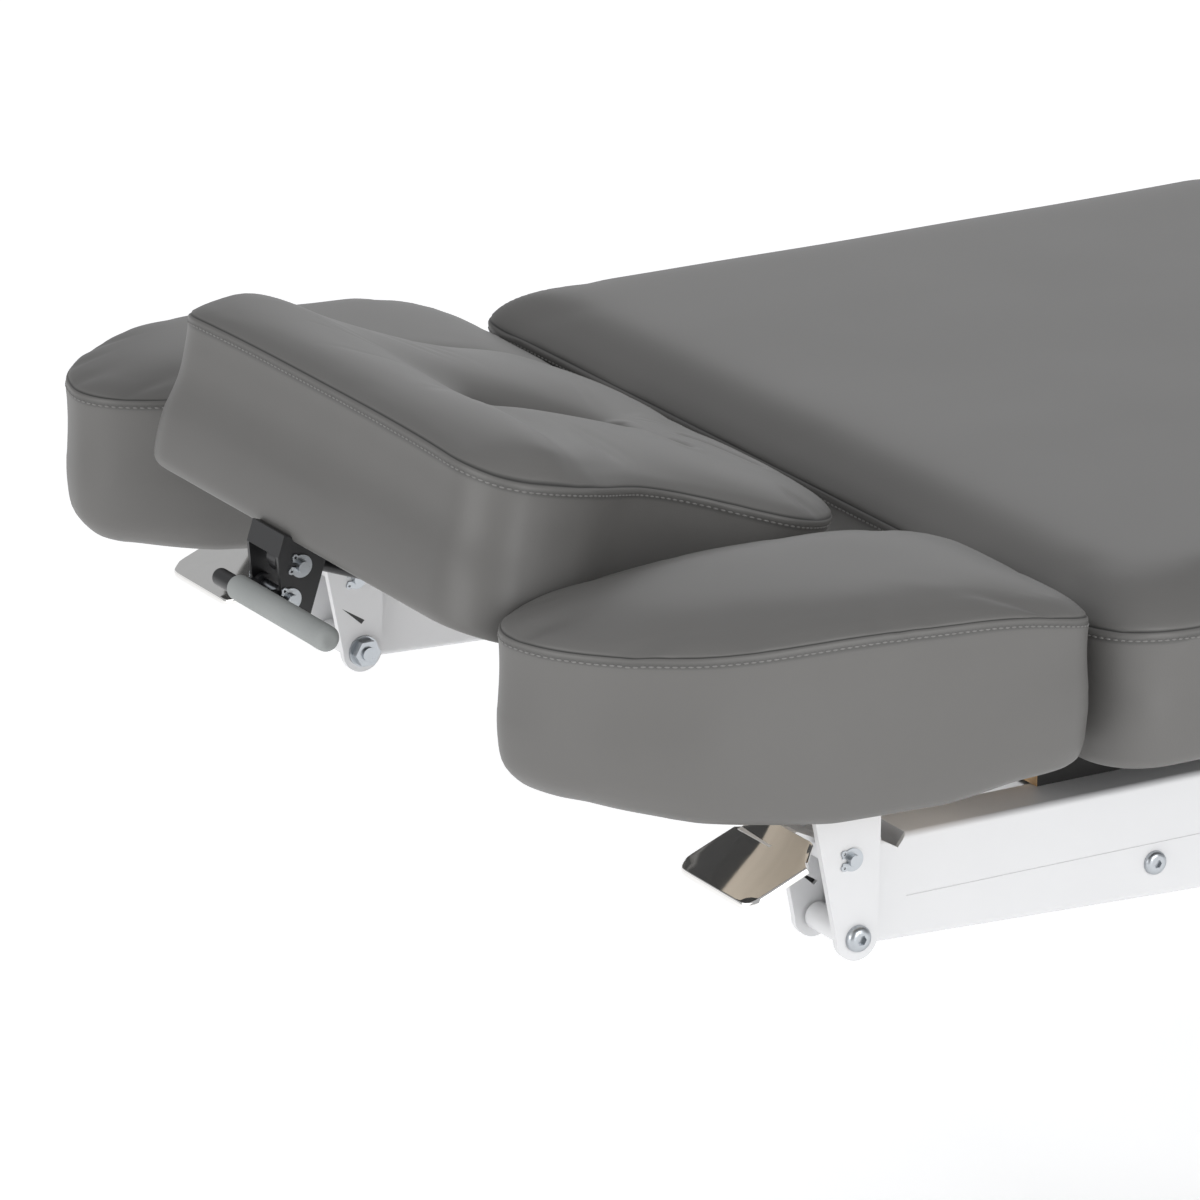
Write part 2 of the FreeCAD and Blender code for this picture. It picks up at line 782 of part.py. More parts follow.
def clip(x, z, bore, y0, y1):
    """Spring clip: a ring open towards the head, with a holed ear at each side of the gap."""
    radius = bore + clip_margin
    gap = box(x - radius - clip_ear_radius, x, y0, y1, z - clip_gap / 2, z + clip_gap / 2)
    ears, holes = [], []
    for turn in (clip_ear_turn, -clip_ear_turn):
        ear_x = x - radius * math.cos(math.radians(turn))
        ear_z = z + radius * math.sin(math.radians(turn))
        ears.append(bar_y(ear_x, ear_z, clip_ear_radius, y0, y1))
        holes.append(bar_y(ear_x, ear_z, clip_ear_hole, y0, y1))
    ring = fuse(bar_y(x, z, radius, y0, y1), *ears)
    return ring.cut(Part.makeCompound(holes)).cut(gap).cut(bar_y(x, z, bore, y0, y1))


def bracket_pins():
    """Two cross pins with a spring clip at each end."""
    solids = []
    half = bracket_half_width
    for u, w in ((strut_pin_u, strut_pin_w), (lever_pin_u, lever_pin_w)):
        x, z = head_xz(u, w)
        solids.append(bar_y(x, z, bracket_pin_radius, -half - catch_pin_tail, half + catch_pin_tail))
        for side in (-1, 1):
            solids.append(clip(x, z, bracket_pin_radius, *mirror_span(side, half, half + clip_thick)))
    return tip_up(Part.makeCompound(solids))


def lever_level():
    """Two short arms on the lower pin and the cross bar that is squeezed."""
    pin_x, pin_z = head_xz(lever_pin_u, lever_pin_w)
    bar_x, bar_at = head_xz(lever_bar_u, lever_bar_w)
    bar = bar_y(bar_x, bar_at, lever_bar_radius, lever_bar_near_y, lever_bar_far_y)
    solids = [bar.makeFillet(lever_bar_round, [edge for edge in bar.Edges if edge.Closed])]
    arm = strip([(pin_x, pin_z), (bar_x, bar_at)], lever_arm_width)
    for side in (-1, 1):
        span = mirror_span(side, lever_arm_y, lever_arm_y + lever_arm_thick)
        solids.append(plate(arm, *span))
        solids.append(bar_y(pin_x, pin_z, lever_eye_radius, *span))
    arm_outer = lever_arm_y + lever_arm_thick
    bore = bar_y(pin_x, pin_z, bracket_pin_radius + running_clearance, -arm_outer, arm_outer)
    return fuse(*solids).cut(bore)


def head_lever():
    return tip_up(lever_level())


def head_grip():
    """Foam sleeve on the bar, slit where the lever arms come in."""
    bar_x, bar_at = head_xz(lever_bar_u, lever_bar_w)
    sleeve = bar_y(bar_x, bar_at, grip_radius, grip_near_y, grip_far_y)
    sleeve = sleeve.makeFillet(grip_round, [edge for edge in sleeve.Edges if edge.Closed])
    return tip_up(sleeve.cut(lever_level()))


def strut_line():
    foot = Vector(strut_foot()[0], 0, strut_foot()[1])
    x, z = tipped_xz(strut_pin_u, strut_pin_w)
    span = Vector(x, 0, z) - foot
    return foot, span


def along(foot, span, distance):
    return foot + span * (distance / span.Length)


def strut_cylinder():
    foot, span = strut_line()
    half = strut_eye_half_width
    eye = bar_y(foot.x, foot.z, strut_eye_radius, -half, half)
    neck = Part.makeCylinder(strut_neck_radius, strut_neck_length, foot, span)
    start = along(foot, span, strut_neck_length)
    tube = Part.makeCylinder(strut_tube_radius, strut_tube_length - strut_neck_length, start, span)
    bore_start = along(foot, span, strut_neck_length + strut_tube_radius)
    bore = Part.makeCylinder(strut_rod_radius + slide_clearance, strut_tube_length, bore_start, span)
    pin_bore = bar_y(foot.x, foot.z, bracket_pin_radius + running_clearance, -half, half)
    return fuse(eye, neck, tube).cut(bore).cut(pin_bore)


def strut_rod():
    foot, span = strut_line()
    end = foot + span
    half = strut_eye_half_width
    hole_radius = bracket_pin_radius + strut_eye_clearance
    inside = strut_tube_length - strut_rod_inside
    rod = Part.makeCylinder(strut_rod_radius, span.Length - inside, along(foot, span, inside), span)
    eye = bar_y(end.x, end.z, hole_radius + strut_eye_wall, -half, half)
    hole = bar_y(end.x, end.z, hole_radius, -half, half)
    return fuse(rod, eye).cut(hole)


# Armrests
def arm_outline(side, share, z):
    """Egg-shaped plan through eight arcs, drawn in towards its middle by share."""
    plan = [
        (-211, -22), (-184, 28), (-132, 67), (-50, 86), (44, 92), (96, 91), (127, 84), (140, 71),
        (146, 48), (147, 0), (146, -52), (137, -77), (112, -90), (-20, -97), (-150, -90), (-199, -66),
    ]
    centre_x, centre_out = -26.0, -2.0
    points = []
    for x, out in plan:
        px = centre_x + share * (x - centre_x)
        py = centre_out + share * (out - centre_out)
        points.append(Vector(arm_pivot_x + px, side * (rail_y + py), z))
    edges = []
    for index in range(0, len(points), 2):
        start, middle, end = points[index], points[index + 1], points[(index + 2) % len(points)]
        edges.append(Part.Arc(start, middle, end).toShape())
    return Part.Wire(edges)


def arm_pad_bottom():
    return arm_pivot_z + bracket_height + arm_pad_lift


def foot_fall(side):
    """What is taken off the top of an armrest cushion, so that it falls away to the foot."""
    level = arm_pad_bottom() + arm_seam_height + arm_crown
    start = arm_pivot_x + arm_level_reach
    end = arm_pivot_x + arm_foot_reach
    drop = arm_foot_drop
    middle = Vector((start + end) / 2, 0, level - drop / 4)
    curve = Part.Arc(Vector(start, 0, level), middle, Vector(end, 0, level - drop)).toShape()
    back = Part.makePolygon([Vector(end, 0, level - drop), Vector(end, 0, level + drop),
                             Vector(start, 0, level + drop), Vector(start, 0, level)])
    face = Part.Face(Part.Wire([curve] + back.Edges))
    face.translate(Vector(0, side * rail_y - arm_fall_half_width, 0))
    return face.extrude(Vector(0, 2 * arm_fall_half_width, 0))


def arm_cushion(side):
    seam = arm_seam_height
    crown = arm_crown
    levels = [
        (0.0, 0.9), (0.05 * seam, 0.955), (0.16 * seam, 0.985), (0.4 * seam, 1.0), (0.75 * seam, 0.985),
        (seam, 0.98), (seam + 0.5 * crown, 0.9), (seam + 0.85 * crown, 0.7), (seam + crown, 0.36),
    ]
    wires = [arm_outline(side, share, arm_pad_bottom() + height) for height, share in levels]
    return Part.makeLoft(wires, True, True).cut(foot_fall(side)).cut(arm_board(side))


def arm_board(side):
    outline = arm_outline(side, arm_board_share, arm_pivot_z + bracket_height)
    return Part.Face(outline).extrude(Vector(0, 0, arm_board_thick))


def arm_bracket(side):
    """Folded bracket: a web under the armrest board and two cheeks that straddle the rail."""
    half = cheek_inner_gap / 2
    x0 = arm_pivot_x + cheek_top_shift - cheek_top_width / 2
    x1 = x0 + cheek_top_width
    top = arm_pivot_z + bracket_height
    radius = cheek_end_radius
    outline = [(x0, top), (x1, top),
               (arm_pivot_x + radius, arm_pivot_z), (arm_pivot_x - radius, arm_pivot_z)]
    wedge = [(arm_pivot_x + x, arm_pivot_z + z) for x, z in (wedge_tip, wedge_high, wedge_low)]
    web = box(x0, x1, side * rail_y - half - cheek_thick, side * rail_y + half + cheek_thick,
              top - cheek_thick, top)
    solids = [web]
    for inner, outer in ((-half - cheek_thick, -half), (half, half + cheek_thick)):
        span = (side * rail_y + inner, side * rail_y + outer)
        cheek = fuse(plate(outline, *span), bar_y(arm_pivot_x, arm_pivot_z, radius, *span))
        if side * (inner + outer) < 0:
            cheek = cheek.cut(plate(wedge, *span))
        solids.append(cheek)
    across = (side * rail_y - half - cheek_thick, side * rail_y + half + cheek_thick)
    bolt = bar_y(arm_pivot_x, arm_pivot_z, pivot_bolt_radius, *across)
    catch = bar_y(arm_pivot_x + catch_pin_x, arm_pivot_z + catch_pin_z, catch_pin_radius, *across)
    return fuse(*solids).cut(bolt).cut(catch)


def arm_fasteners(side):
    """Pivot bolt with its nut, and the catch pin with a spring clip at each end."""
    half = cheek_inner_gap / 2 + cheek_thick
    outer = side * (rail_y + half)
    inner = side * (rail_y - half)

    def out_from(face, distance):
        return sorted((face, face + side * distance))

    shank_end = inner - side * (nut_height + bolt_tail)
    shank = bar_y(arm_pivot_x, arm_pivot_z, pivot_bolt_radius, *sorted((outer, shank_end)))
    head = domed_head(arm_pivot_x, arm_pivot_z, bolt_head_radius, bolt_head_round, bolt_socket_flats,
                      bolt_socket_depth, outer, side * bolt_head_height)
    bolt = fuse(shank, head)
    flange = bar_y(arm_pivot_x, arm_pivot_z, nut_flange_radius, *out_from(inner, -nut_flange_thick))
    nut_span = out_from(inner, -nut_height)
    nut = fuse(hexagon(arm_pivot_x, arm_pivot_z, nut_across_flats, *nut_span), flange)
    nut = nut.cut(bar_y(arm_pivot_x, arm_pivot_z, pivot_bolt_radius, *nut_span))
    x = arm_pivot_x + catch_pin_x
    z = arm_pivot_z + catch_pin_z
    pin_ends = sorted((outer + side * catch_pin_tail, inner - side * catch_pin_tail))
    pin = bar_y(x, z, catch_pin_radius, *pin_ends)
    clips = [clip(x, z, catch_pin_radius, *out_from(outer, clip_thick)),
             clip(x, z, catch_pin_radius, *out_from(inner, -clip_thick))]
    return Part.makeCompound([bolt, nut, pin] + clips)


def strip(points, thickness):
    """Outline of a bent strip that has this centre line."""
    upper, lower = [], []
    for index, (x, z) in enumerate(points):
        before = points[max(index - 1, 0)]
        after = points[min(index + 1, len(points) - 1)]
        dx, dz = after[0] - before[0], after[1] - before[1]
        length = math.hypot(dx, dz)
        nx, nz = -dz / length * thickness / 2, dx / length * thickness / 2
        upper.append((x + nx, z + nz))
        lower.append((x - nx, z - nz))
    return upper + lower[::-1]


def paddle(side):
    """Bent steel paddle that the hand presses, with rounded head corners."""
    centre = side * (rail_y + paddle_offset)
    head_x = arm_pivot_x + paddle_head[0]
    line = [(arm_pivot_x + x, arm_pivot_z + z) for x, z in (paddle_head, paddle_foot)]
    blade = plate(strip(line, paddle_thick), centre - paddle_half_width, centre + paddle_half_width)
    corner_edges = []
    for edge in blade.Edges:
        through_sheet = edge.Length < paddle_thick * 1.5
        if through_sheet and edge.CenterOfMass.x < head_x + paddle_thick:
            corner_edges.append(edge)
    return blade.makeFillet(paddle_corner, corner_edges)


def pawl(side):
    """Catch lever on the catch pin: neck with the paddle, hub, and tip over the rail's notch."""
    x = arm_pivot_x + catch_pin_x
    z = arm_pivot_z + catch_pin_z
    centre = side * rail_y
    radius = paddle_boss_radius
    tip = pawl_tip_radius
    tip_x = x + pawl_tip_reach
    width = (centre - paddle_neck_half_width, centre + paddle_neck_half_width)
    span = (centre - pawl_half_width, centre + pawl_half_width)
    line = [(arm_pivot_x + px, arm_pivot_z + pz) for px, pz in (paddle_foot, paddle_neck)]
    neck = plate(strip(line + [(x - radius * 0.45, z + radius * 0.55)], paddle_thick), *width)
    arm = plate([(x, z - radius), (tip_x, z - tip), (tip_x, z + tip), (x, z + radius)], *span)
    lever = fuse(neck, bar_y(x, z, radius, *width), arm, bar_y(tip_x, z, tip, *span))
    return lever.cut(bar_y(x, z, catch_pin_radius + running_clearance, *width)).cut(paddle(side))


# Linear actuators
def actuator(hinge_x, direction):
    """Housing with its rear eye and motor, and the push rod with its cross pin."""
    anchor = Vector(hinge_x + direction * actuator_anchor_ahead, 0, hinge_z - actuator_anchor_below)
    lug = Vector(hinge_x + direction * actuator_lug_reach, 0, hinge_z - actuator_lug_below)
    span = lug - anchor
    half = actuator_eye_half_width
    eye = bar_y(anchor.x, anchor.z, actuator_eye_radius, -half, half)
    eye_depth = anchor_bar_radius + running_clearance
    start = along(anchor, span, eye_depth)
    tube = Part.makeCylinder(actuator_tube_radius, actuator_tube_length - eye_depth, start, span)
    bore_start = along(anchor, span, eye_depth + actuator_eye_radius)
    motor = Part.makeCylinder(motor_radius, motor_length, bore_start + Vector(0, motor_offset, 0), span)
    gear_start = along(anchor, span, eye_depth + actuator_eye_radius + gear_radius)
    gear = Part.makeCylinder(gear_radius, motor_offset, gear_start, Y_AXIS)
    bore = Part.makeCylinder(actuator_rod_radius + slide_clearance, actuator_tube_length, bore_start, span)
    wide = max(half, actuator_tube_radius)
    anchor_bore = bar_y(anchor.x, anchor.z, eye_depth, -wide, wide)
    housing = fuse(eye, tube, gear, motor).cut(bore).cut(anchor_bore)
    rod_end = along(anchor, span, eye_depth + actuator_eye_radius + rod_end_gap)
    rod = Part.makeCylinder(actuator_rod_radius, (lug - rod_end).Length, rod_end, span)
    eye_half = rod_eye_half_width
    rod_eye = bar_y(lug.x, lug.z, actuator_pin_radius + rod_eye_wall, -eye_half, eye_half)
    push_pin = bar_y(lug.x, lug.z, actuator_pin_radius, -actuator_pin_half_length, actuator_pin_half_length)
    return housing, fuse(rod, rod_eye, push_pin)


# Leg section
def leg_rail(side):
    span = mirror_span(side, rail_inner_y, rail_outer_y)
    return tube_x(leg_hinge_x + rail_end_gap, leg_foot_x - leg_rail_foot_gap, *span,
                  rail_top - leg_rail_depth, rail_top, rail_wall)


def leg_straps():
    return pair(lambda side: hinge_strap(leg_hinge_x, leg_hinge_x + rail_end_gap, side, 1, True))


os.makedirs("parts", exist_ok=True)


def save(name, shape):
    if isinstance(shape, list):
        shape = Part.makeCompound(shape)
    shape.exportStep(f"parts/{name}.step")


outer_tubes, mid_tubes, inner_tubes, spindles = column_parts()
spine_head = base_head_x + base_cross_width / 2
spine_foot = base_foot_x - base_cross_width / 2
save("base_spine", tube_x(spine_head, spine_foot, -base_spine_width / 2, base_spine_width / 2,
                          base_clearance, base_top, base_wall))
save("base_cross_tubes", base_crosses())
save("base_end_caps", base_caps())
save("levelling_feet", levelling_feet())
save("column_outer_tubes", outer_tubes)
save("column_mid_tubes", mid_tubes)
save("column_inner_tubes", inner_tubes)
save("lift_spindles", spindles)
save("lift_motors", lift_motors())
save("control_box", control_box())
save("sockets", sockets())

save("chassis_tubes", pair(chassis_tube))
save("anchor_bars", anchor_bars())
save("seat_stubs", seat_stubs())
save("seat_rails", pair(seat_rail))
save("seat_boards", section_boards(back_hinge_x + half_gap + strap_board_gap,
                                   leg_hinge_x - half_gap - strap_board_gap))
save("seat_cushion", section_pad(back_hinge_x + half_gap, leg_hinge_x - half_gap))
save("seat_hinge_straps", seat_straps())
save("hinge_pins", hinge_pins())

back_lug_x = back_hinge_x - actuator_lug_reach
save("back_rail_left", back_rail(1))
save("back_rail_right", back_rail(-1))
save("back_cross_tubes", [cross_tube(head_tube_x()), cross_tube(back_lug_x)])
save("back_lug", actuator_lug(back_lug_x, back_slot_travel))
save("back_boards", section_boards(back_head_x + board_inset, back_hinge_x - half_gap - strap_board_gap))
save("back_cushion", section_pad(back_head_x, back_hinge_x - half_gap))
save("back_hinge_straps", back_straps())
save("head_carrier", head_carrier())
save("head_pins", head_pins())
save("rail_screws", rail_screws())

save("head_cushion", head_cushion())
save("head_board", head_board())
save("head_lugs", head_lugs())
save("head_bracket", head_bracket())
save("head_bracket_pins", bracket_pins())
save("head_lever", head_lever())
save("head_grip", head_grip())
save("strut_cylinder", strut_cylinder())
save("strut_rod", strut_rod())

for side, word in ((-1, "right"), (1, "left")):
    save(f"{word}_arm_cushion", arm_cushion(side))
    save(f"{word}_arm_board", arm_board(side))
    save(f"{word}_arm_bracket", arm_bracket(side))
    save(f"{word}_arm_fasteners", arm_fasteners(side))
    save(f"{word}_paddle", paddle(side))
    save(f"{word}_pawl", pawl(side))

for word, hinge_x, direction in (("back", back_hinge_x, -1), ("leg", leg_hinge_x, 1)):
    housing, rod = actuator(hinge_x, direction)
    save(f"{word}_actuator", housing)
    save(f"{word}_actuator_rod", rod)

leg_lug_x = leg_hinge_x + actuator_lug_reach
save("leg_rails", pair(leg_rail))
save("leg_cross_tubes", [cross_tube(leg_lug_x)])
save("leg_lug", actuator_lug(leg_lug_x, leg_slot_travel))
save("leg_boards", section_boards(leg_hinge_x + half_gap + strap_board_gap, leg_foot_x - foot_board_inset))
save("leg_cushion", section_pad(leg_hinge_x + half_gap, leg_foot_x))
save("leg_hinge_straps", leg_straps())
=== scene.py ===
import math

import bpy
from mathutils import Matrix, Vector, noise
from mathutils.bvhtree import BVHTree
from mathutils.kdtree import KDTree


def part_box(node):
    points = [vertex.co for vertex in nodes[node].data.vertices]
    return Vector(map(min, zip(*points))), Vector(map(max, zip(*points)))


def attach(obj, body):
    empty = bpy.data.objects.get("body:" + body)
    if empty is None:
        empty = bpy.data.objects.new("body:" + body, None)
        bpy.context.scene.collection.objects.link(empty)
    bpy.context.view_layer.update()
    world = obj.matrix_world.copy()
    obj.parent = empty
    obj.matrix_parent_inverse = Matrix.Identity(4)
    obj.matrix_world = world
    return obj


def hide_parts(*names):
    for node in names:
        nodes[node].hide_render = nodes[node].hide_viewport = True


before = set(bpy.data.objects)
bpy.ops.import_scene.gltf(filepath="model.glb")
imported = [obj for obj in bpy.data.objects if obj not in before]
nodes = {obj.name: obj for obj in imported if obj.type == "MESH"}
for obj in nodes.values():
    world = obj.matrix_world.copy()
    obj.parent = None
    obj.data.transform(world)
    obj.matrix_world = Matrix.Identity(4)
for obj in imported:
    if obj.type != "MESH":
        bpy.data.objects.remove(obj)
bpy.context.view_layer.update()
mm = 0.001
print("frame loaded:", len(nodes), "nodes")


# small measures used all over
def ramp(value, start, reach):
    # nothing up to the start, then straight up to one
    return min(1.0, max(0.0, (value - start) / reach))


def bell(value, place, width):
    return math.exp(-((value - place) / width) ** 2)


# camera at the photograph's angle
photoCamera = {"place": (-3.5434, -4.7608, 2.5903), "look": (0.4804, 0.8156, -0.3223), "lens": 268.1,
               "sensor": 36, "farthest": 100}


def addCamera(spec):
    look = Vector(spec["look"])
    bpy.ops.object.camera_add(location=spec["place"], rotation=look.to_track_quat("-Z", "Y").to_euler())
    camera = bpy.context.object
    camera.name = "photoCamera"
    camera.data.lens = spec["lens"]
    camera.data.sensor_width = spec["sensor"]
    camera.data.clip_end = spec["farthest"]
    bpy.context.scene.camera = camera


# soft studio: bright room, one large lamp overhead and one at each side (name, place, target, size, power)
studio = {
    "room": (0.97, 0.98, 1.0), "roomStrength": 0.48,
    "lamps": [
        ("overhead", (-0.4, 0.6, 4.4), (-0.4, 0.0, 0.6), 4.0, 14),
        ("headSide", (-4.6, -0.6, 1.9), (-0.6, 0.0, 0.7), 2.6, 62),
        ("nearSide", (0.2, -4.8, 2.0), (-0.2, 0.0, 0.6), 3.0, 104),
        ("farSide", (2.6, 4.6, 2.6), (0.2, 0.0, 0.5), 3.0, 26),
    ],
    "floorSize": 60, "floorColour": (0.95, 0.95, 0.95), "floorGlow": 0.42,
}


def addStudio(spec):
    world = bpy.data.worlds.new("paleRoom")
    bpy.context.scene.world = world
    world.use_nodes = True
    sky = world.node_tree.nodes["Background"]
    sky.inputs["Color"].default_value = (*spec["room"], 1)
    sky.inputs["Strength"].default_value = spec["roomStrength"]
    for name, place, target, size, power in spec["lamps"]:
        aim = (Vector(target) - Vector(place)).to_track_quat("-Z", "Y").to_euler()
        bpy.ops.object.light_add(type="AREA", location=place, rotation=aim)
        lamp = bpy.context.object
        lamp.name = name
        lamp.data.size = size
        lamp.data.energy = power
    bpy.context.scene.view_settings.view_transform = "Standard"
    bpy.context.scene.view_settings.look = "None"


addCamera(photoCamera)
addStudio(studio)
print("camera and lamps set")


# shader groups used by more than one finish
def newGroup(name, inputs, outputs):
    group = bpy.data.node_groups.new(name, "ShaderNodeTree")
    for label, kind, value in inputs:
        socket = group.interface.new_socket(label, in_out="INPUT", socket_type=kind)
        if value is not None:
            socket.default_value = value
    for label, kind in outputs:
        group.interface.new_socket(label, in_out="OUTPUT", socket_type=kind)
    start = group.nodes.new("NodeGroupInput")
    end = group.nodes.new("NodeGroupOutput")
    return group, start, end


def addNode(tree, kind, **settings):
    node = tree.nodes.new(kind)
    for key, value in settings.items():
        if key in node.inputs:
            node.inputs[key].default_value = value
        else:
            setattr(node, key, value)
    return node


def makeGrainGroup():
    # pressed hide grain: small cells with fine pores, and a slow mottle for the colour
    group, start, end = newGroup(
        "hideGrain",
        [("Place", "NodeSocketVector", None), ("Cells", "NodeSocketFloat", 900.0)],
        [("Height", "NodeSocketFloat"), ("Mottle", "NodeSocketFloat")])
    link = group.links.new
    cells = addNode(group, "ShaderNodeTexVoronoi", feature="SMOOTH_F1", Smoothness=0.4)
    pores = addNode(group, "ShaderNodeTexNoise", Scale=2600.0, Detail=2.0)
    slow = addNode(group, "ShaderNodeTexNoise", Scale=7.0, Detail=3.0, Roughness=0.55)
    blend = addNode(group, "ShaderNodeMath", operation="MULTIPLY_ADD")
    poreShare = 0.35
    blend.inputs[1].default_value = poreShare
    for node in (cells, pores, slow):
        link(start.outputs["Place"], node.inputs["Vector"])
    link(start.outputs["Cells"], cells.inputs["Scale"])
    link(pores.outputs["Fac"], blend.inputs[0])
    link(cells.outputs["Distance"], blend.inputs[2])
    link(blend.outputs[0], end.inputs["Height"])
    link(slow.outputs["Fac"], end.inputs["Mottle"])
    return group


def linkSkin(group, start, end, height, tint):
    # one noise gives the height, the other the tint and a roughness between low and high
    link = group.links.new
    span = addNode(group, "ShaderNodeMapRange")
    link(tint.outputs["Fac"], span.inputs["Value"])
    link(start.outputs["Low"], span.inputs["To Min"])
    link(start.outputs["High"], span.inputs["To Max"])
    link(height.outputs["Fac"], end.inputs["Height"])
    link(tint.outputs["Fac"], end.inputs["Tint"])
    link(span.outputs["Result"], end.inputs["Roughness"])


def makePeelGroup():
    # sprayed or cast skin: a soft ripple, and a slow tint
    group, start, end = newGroup(
        "sprayedSkin",
        [("Place", "NodeSocketVector", None), ("Ripple", "NodeSocketFloat", 350.0),
         ("Low", "NodeSocketFloat", 0.35), ("High", "NodeSocketFloat", 0.55)],
        [("Height", "NodeSocketFloat"), ("Tint", "NodeSocketFloat"), ("Roughness", "NodeSocketFloat")])
    link = group.links.new
    ripple = addNode(group, "ShaderNodeTexNoise", Detail=2.0, Roughness=0.5)
    slow = addNode(group, "ShaderNodeTexNoise", Scale=9.0, Detail=4.0, Roughness=0.6)
    for node in (ripple, slow):
        link(start.outputs["Place"], node.inputs["Vector"])
    link(start.outputs["Ripple"], ripple.inputs["Scale"])
    linkSkin(group, start, end, ripple, slow)
    return group


def makeBrushGroup():
    # drawn or turned metal: fine lines along one way, and small scuffs
    group, start, end = newGroup(
        "drawnMetal",
        [("Place", "NodeSocketVector", None),
         ("Low", "NodeSocketFloat", 0.2), ("High", "NodeSocketFloat", 0.4)],
        [("Height", "NodeSocketFloat"), ("Tint", "NodeSocketFloat"), ("Roughness", "NodeSocketFloat")])
    link = group.links.new
    stretch = addNode(group, "ShaderNodeMapping", Scale=(60.0, 1.0, 60.0))
    lines = addNode(group, "ShaderNodeTexNoise", Scale=40.0, Detail=3.0)
    scuffs = addNode(group, "ShaderNodeTexNoise", Scale=120.0, Detail=5.0, Roughness=0.7)
    link(start.outputs["Place"], stretch.inputs["Vector"])
    link(stretch.outputs["Vector"], lines.inputs["Vector"])
    link(start.outputs["Place"], scuffs.inputs["Vector"])
    linkSkin(group, start, end, lines, scuffs)
    return group


hideGrain = makeGrainGroup()
sprayedSkin = makePeelGroup()
drawnMetal = makeBrushGroup()


def newFinish(name, sockets):
    material = bpy.data.materials.new(name)
    material.use_nodes = True
    tree = material.node_tree
    shader = tree.nodes["Principled BSDF"]
    for label, value in sockets.items():
        shader.inputs[label].default_value = value
    place = addNode(tree, "ShaderNodeTexCoord")
    return material, tree, shader, place


def addGroup(tree, group, place, **values):
    node = tree.nodes.new("ShaderNodeGroup")
    node.node_tree = group
    tree.links.new(place.outputs["Object"], node.inputs["Place"])
    for label, value in values.items():
        node.inputs[label].default_value = value
    return node


# sockets of the colour mix, which share their names with those of other kinds
mixSockets = {"share": 0, "first": 6, "second": 7, "result": 2}


def addMix(tree, share, first, second):
    # colour mix of two sockets or plain colours
    mix = addNode(tree, "ShaderNodeMix", data_type="RGBA")
    tree.links.new(share, mix.inputs[mixSockets["share"]])
    for label, value in (("first", first), ("second", second)):
        socket = mix.inputs[mixSockets[label]]
        if isinstance(value, tuple):
            socket.default_value = (*value, 1)
        else:
            tree.links.new(value, socket)
    return mix.outputs[mixSockets["result"]]


def linkBump(tree, height, shader, strength, depth):
    bump = addNode(tree, "ShaderNodeBump", Strength=strength, Distance=depth)
    tree.links.new(height, bump.inputs["Height"])
    tree.links.new(bump.outputs["Normal"], shader.inputs["Normal"])


# the seam colour is painted shade for the seam groove and the needle holes below it
vinylLook = {
    "sockets": {"Roughness": 0.46, "Specular IOR Level": 0.42},
    "dark": (0.120, 0.117, 0.112), "light": (0.137, 0.134, 0.129), "seam": (0.022, 0.022, 0.021),
    "cloth": (0.012, 0.012, 0.012), "cells": 780.0, "bump": 0.10, "bumpDepth": 0.0003,
}


def makeVinyl(look):
    # grained vinyl, with painted shade along the seam grooves and in the needle holes, and black cloth
    # underneath
    material, tree, shader, place = newFinish("greyVinyl", look["sockets"])
    grain = addGroup(tree, hideGrain, place, Cells=look["cells"])
    # seamLine holds where painted shade darkens the vinyl, along the seam groove and in the needle holes
    seam = addNode(tree, "ShaderNodeAttribute", attribute_name="seamLine")
    under = addNode(tree, "ShaderNodeAttribute", attribute_name="underside")
    tint = addMix(tree, grain.outputs["Mottle"], look["dark"], look["light"])
    sewn = addMix(tree, seam.outputs["Fac"], tint, look["seam"])
    whole = addMix(tree, under.outputs["Fac"], sewn, look["cloth"])
    tree.links.new(whole, shader.inputs["Base Color"])
    linkBump(tree, grain.outputs["Height"], shader, look["bump"], look["bumpDepth"])
    return material


def makeSkin(name, sockets, group, dark, light, bump, bumpDepth, **values):
    material, tree, shader, place = newFinish(name, sockets)
    skin = addGroup(tree, group, place, **values)
    tree.links.new(addMix(tree, skin.outputs["Tint"], dark, light), shader.inputs["Base Color"])
    tree.links.new(skin.outputs["Roughness"], shader.inputs["Roughness"])
    linkBump(tree, skin.outputs["Height"], shader, bump, bumpDepth)
    return material


def makeSprayed(name, dark, light, low, high, ripple=350.0, bump=0.06, bumpDepth=0.0004):
    return makeSkin(name, {}, sprayedSkin, dark, light, bump, bumpDepth, Ripple=ripple, Low=low, High=high)


def makeMetal(name, dark, light, low, high, bump=0.04, bumpDepth=0.0002):
    return makeSkin(name, {"Metallic": 1.0}, drawnMetal, dark, light, bump, bumpDepth, Low=low, High=high)


boardLook = {"dark": (0.012, 0.012, 0.012), "light": (0.024, 0.023, 0.022), "ripple": 120.0,
             "roughness": 0.7, "grainStretch": (5.0, 120.0, 700.0), "bump": 0.15, "bumpDepth": 0.0004,
             "skin": 0.0003}


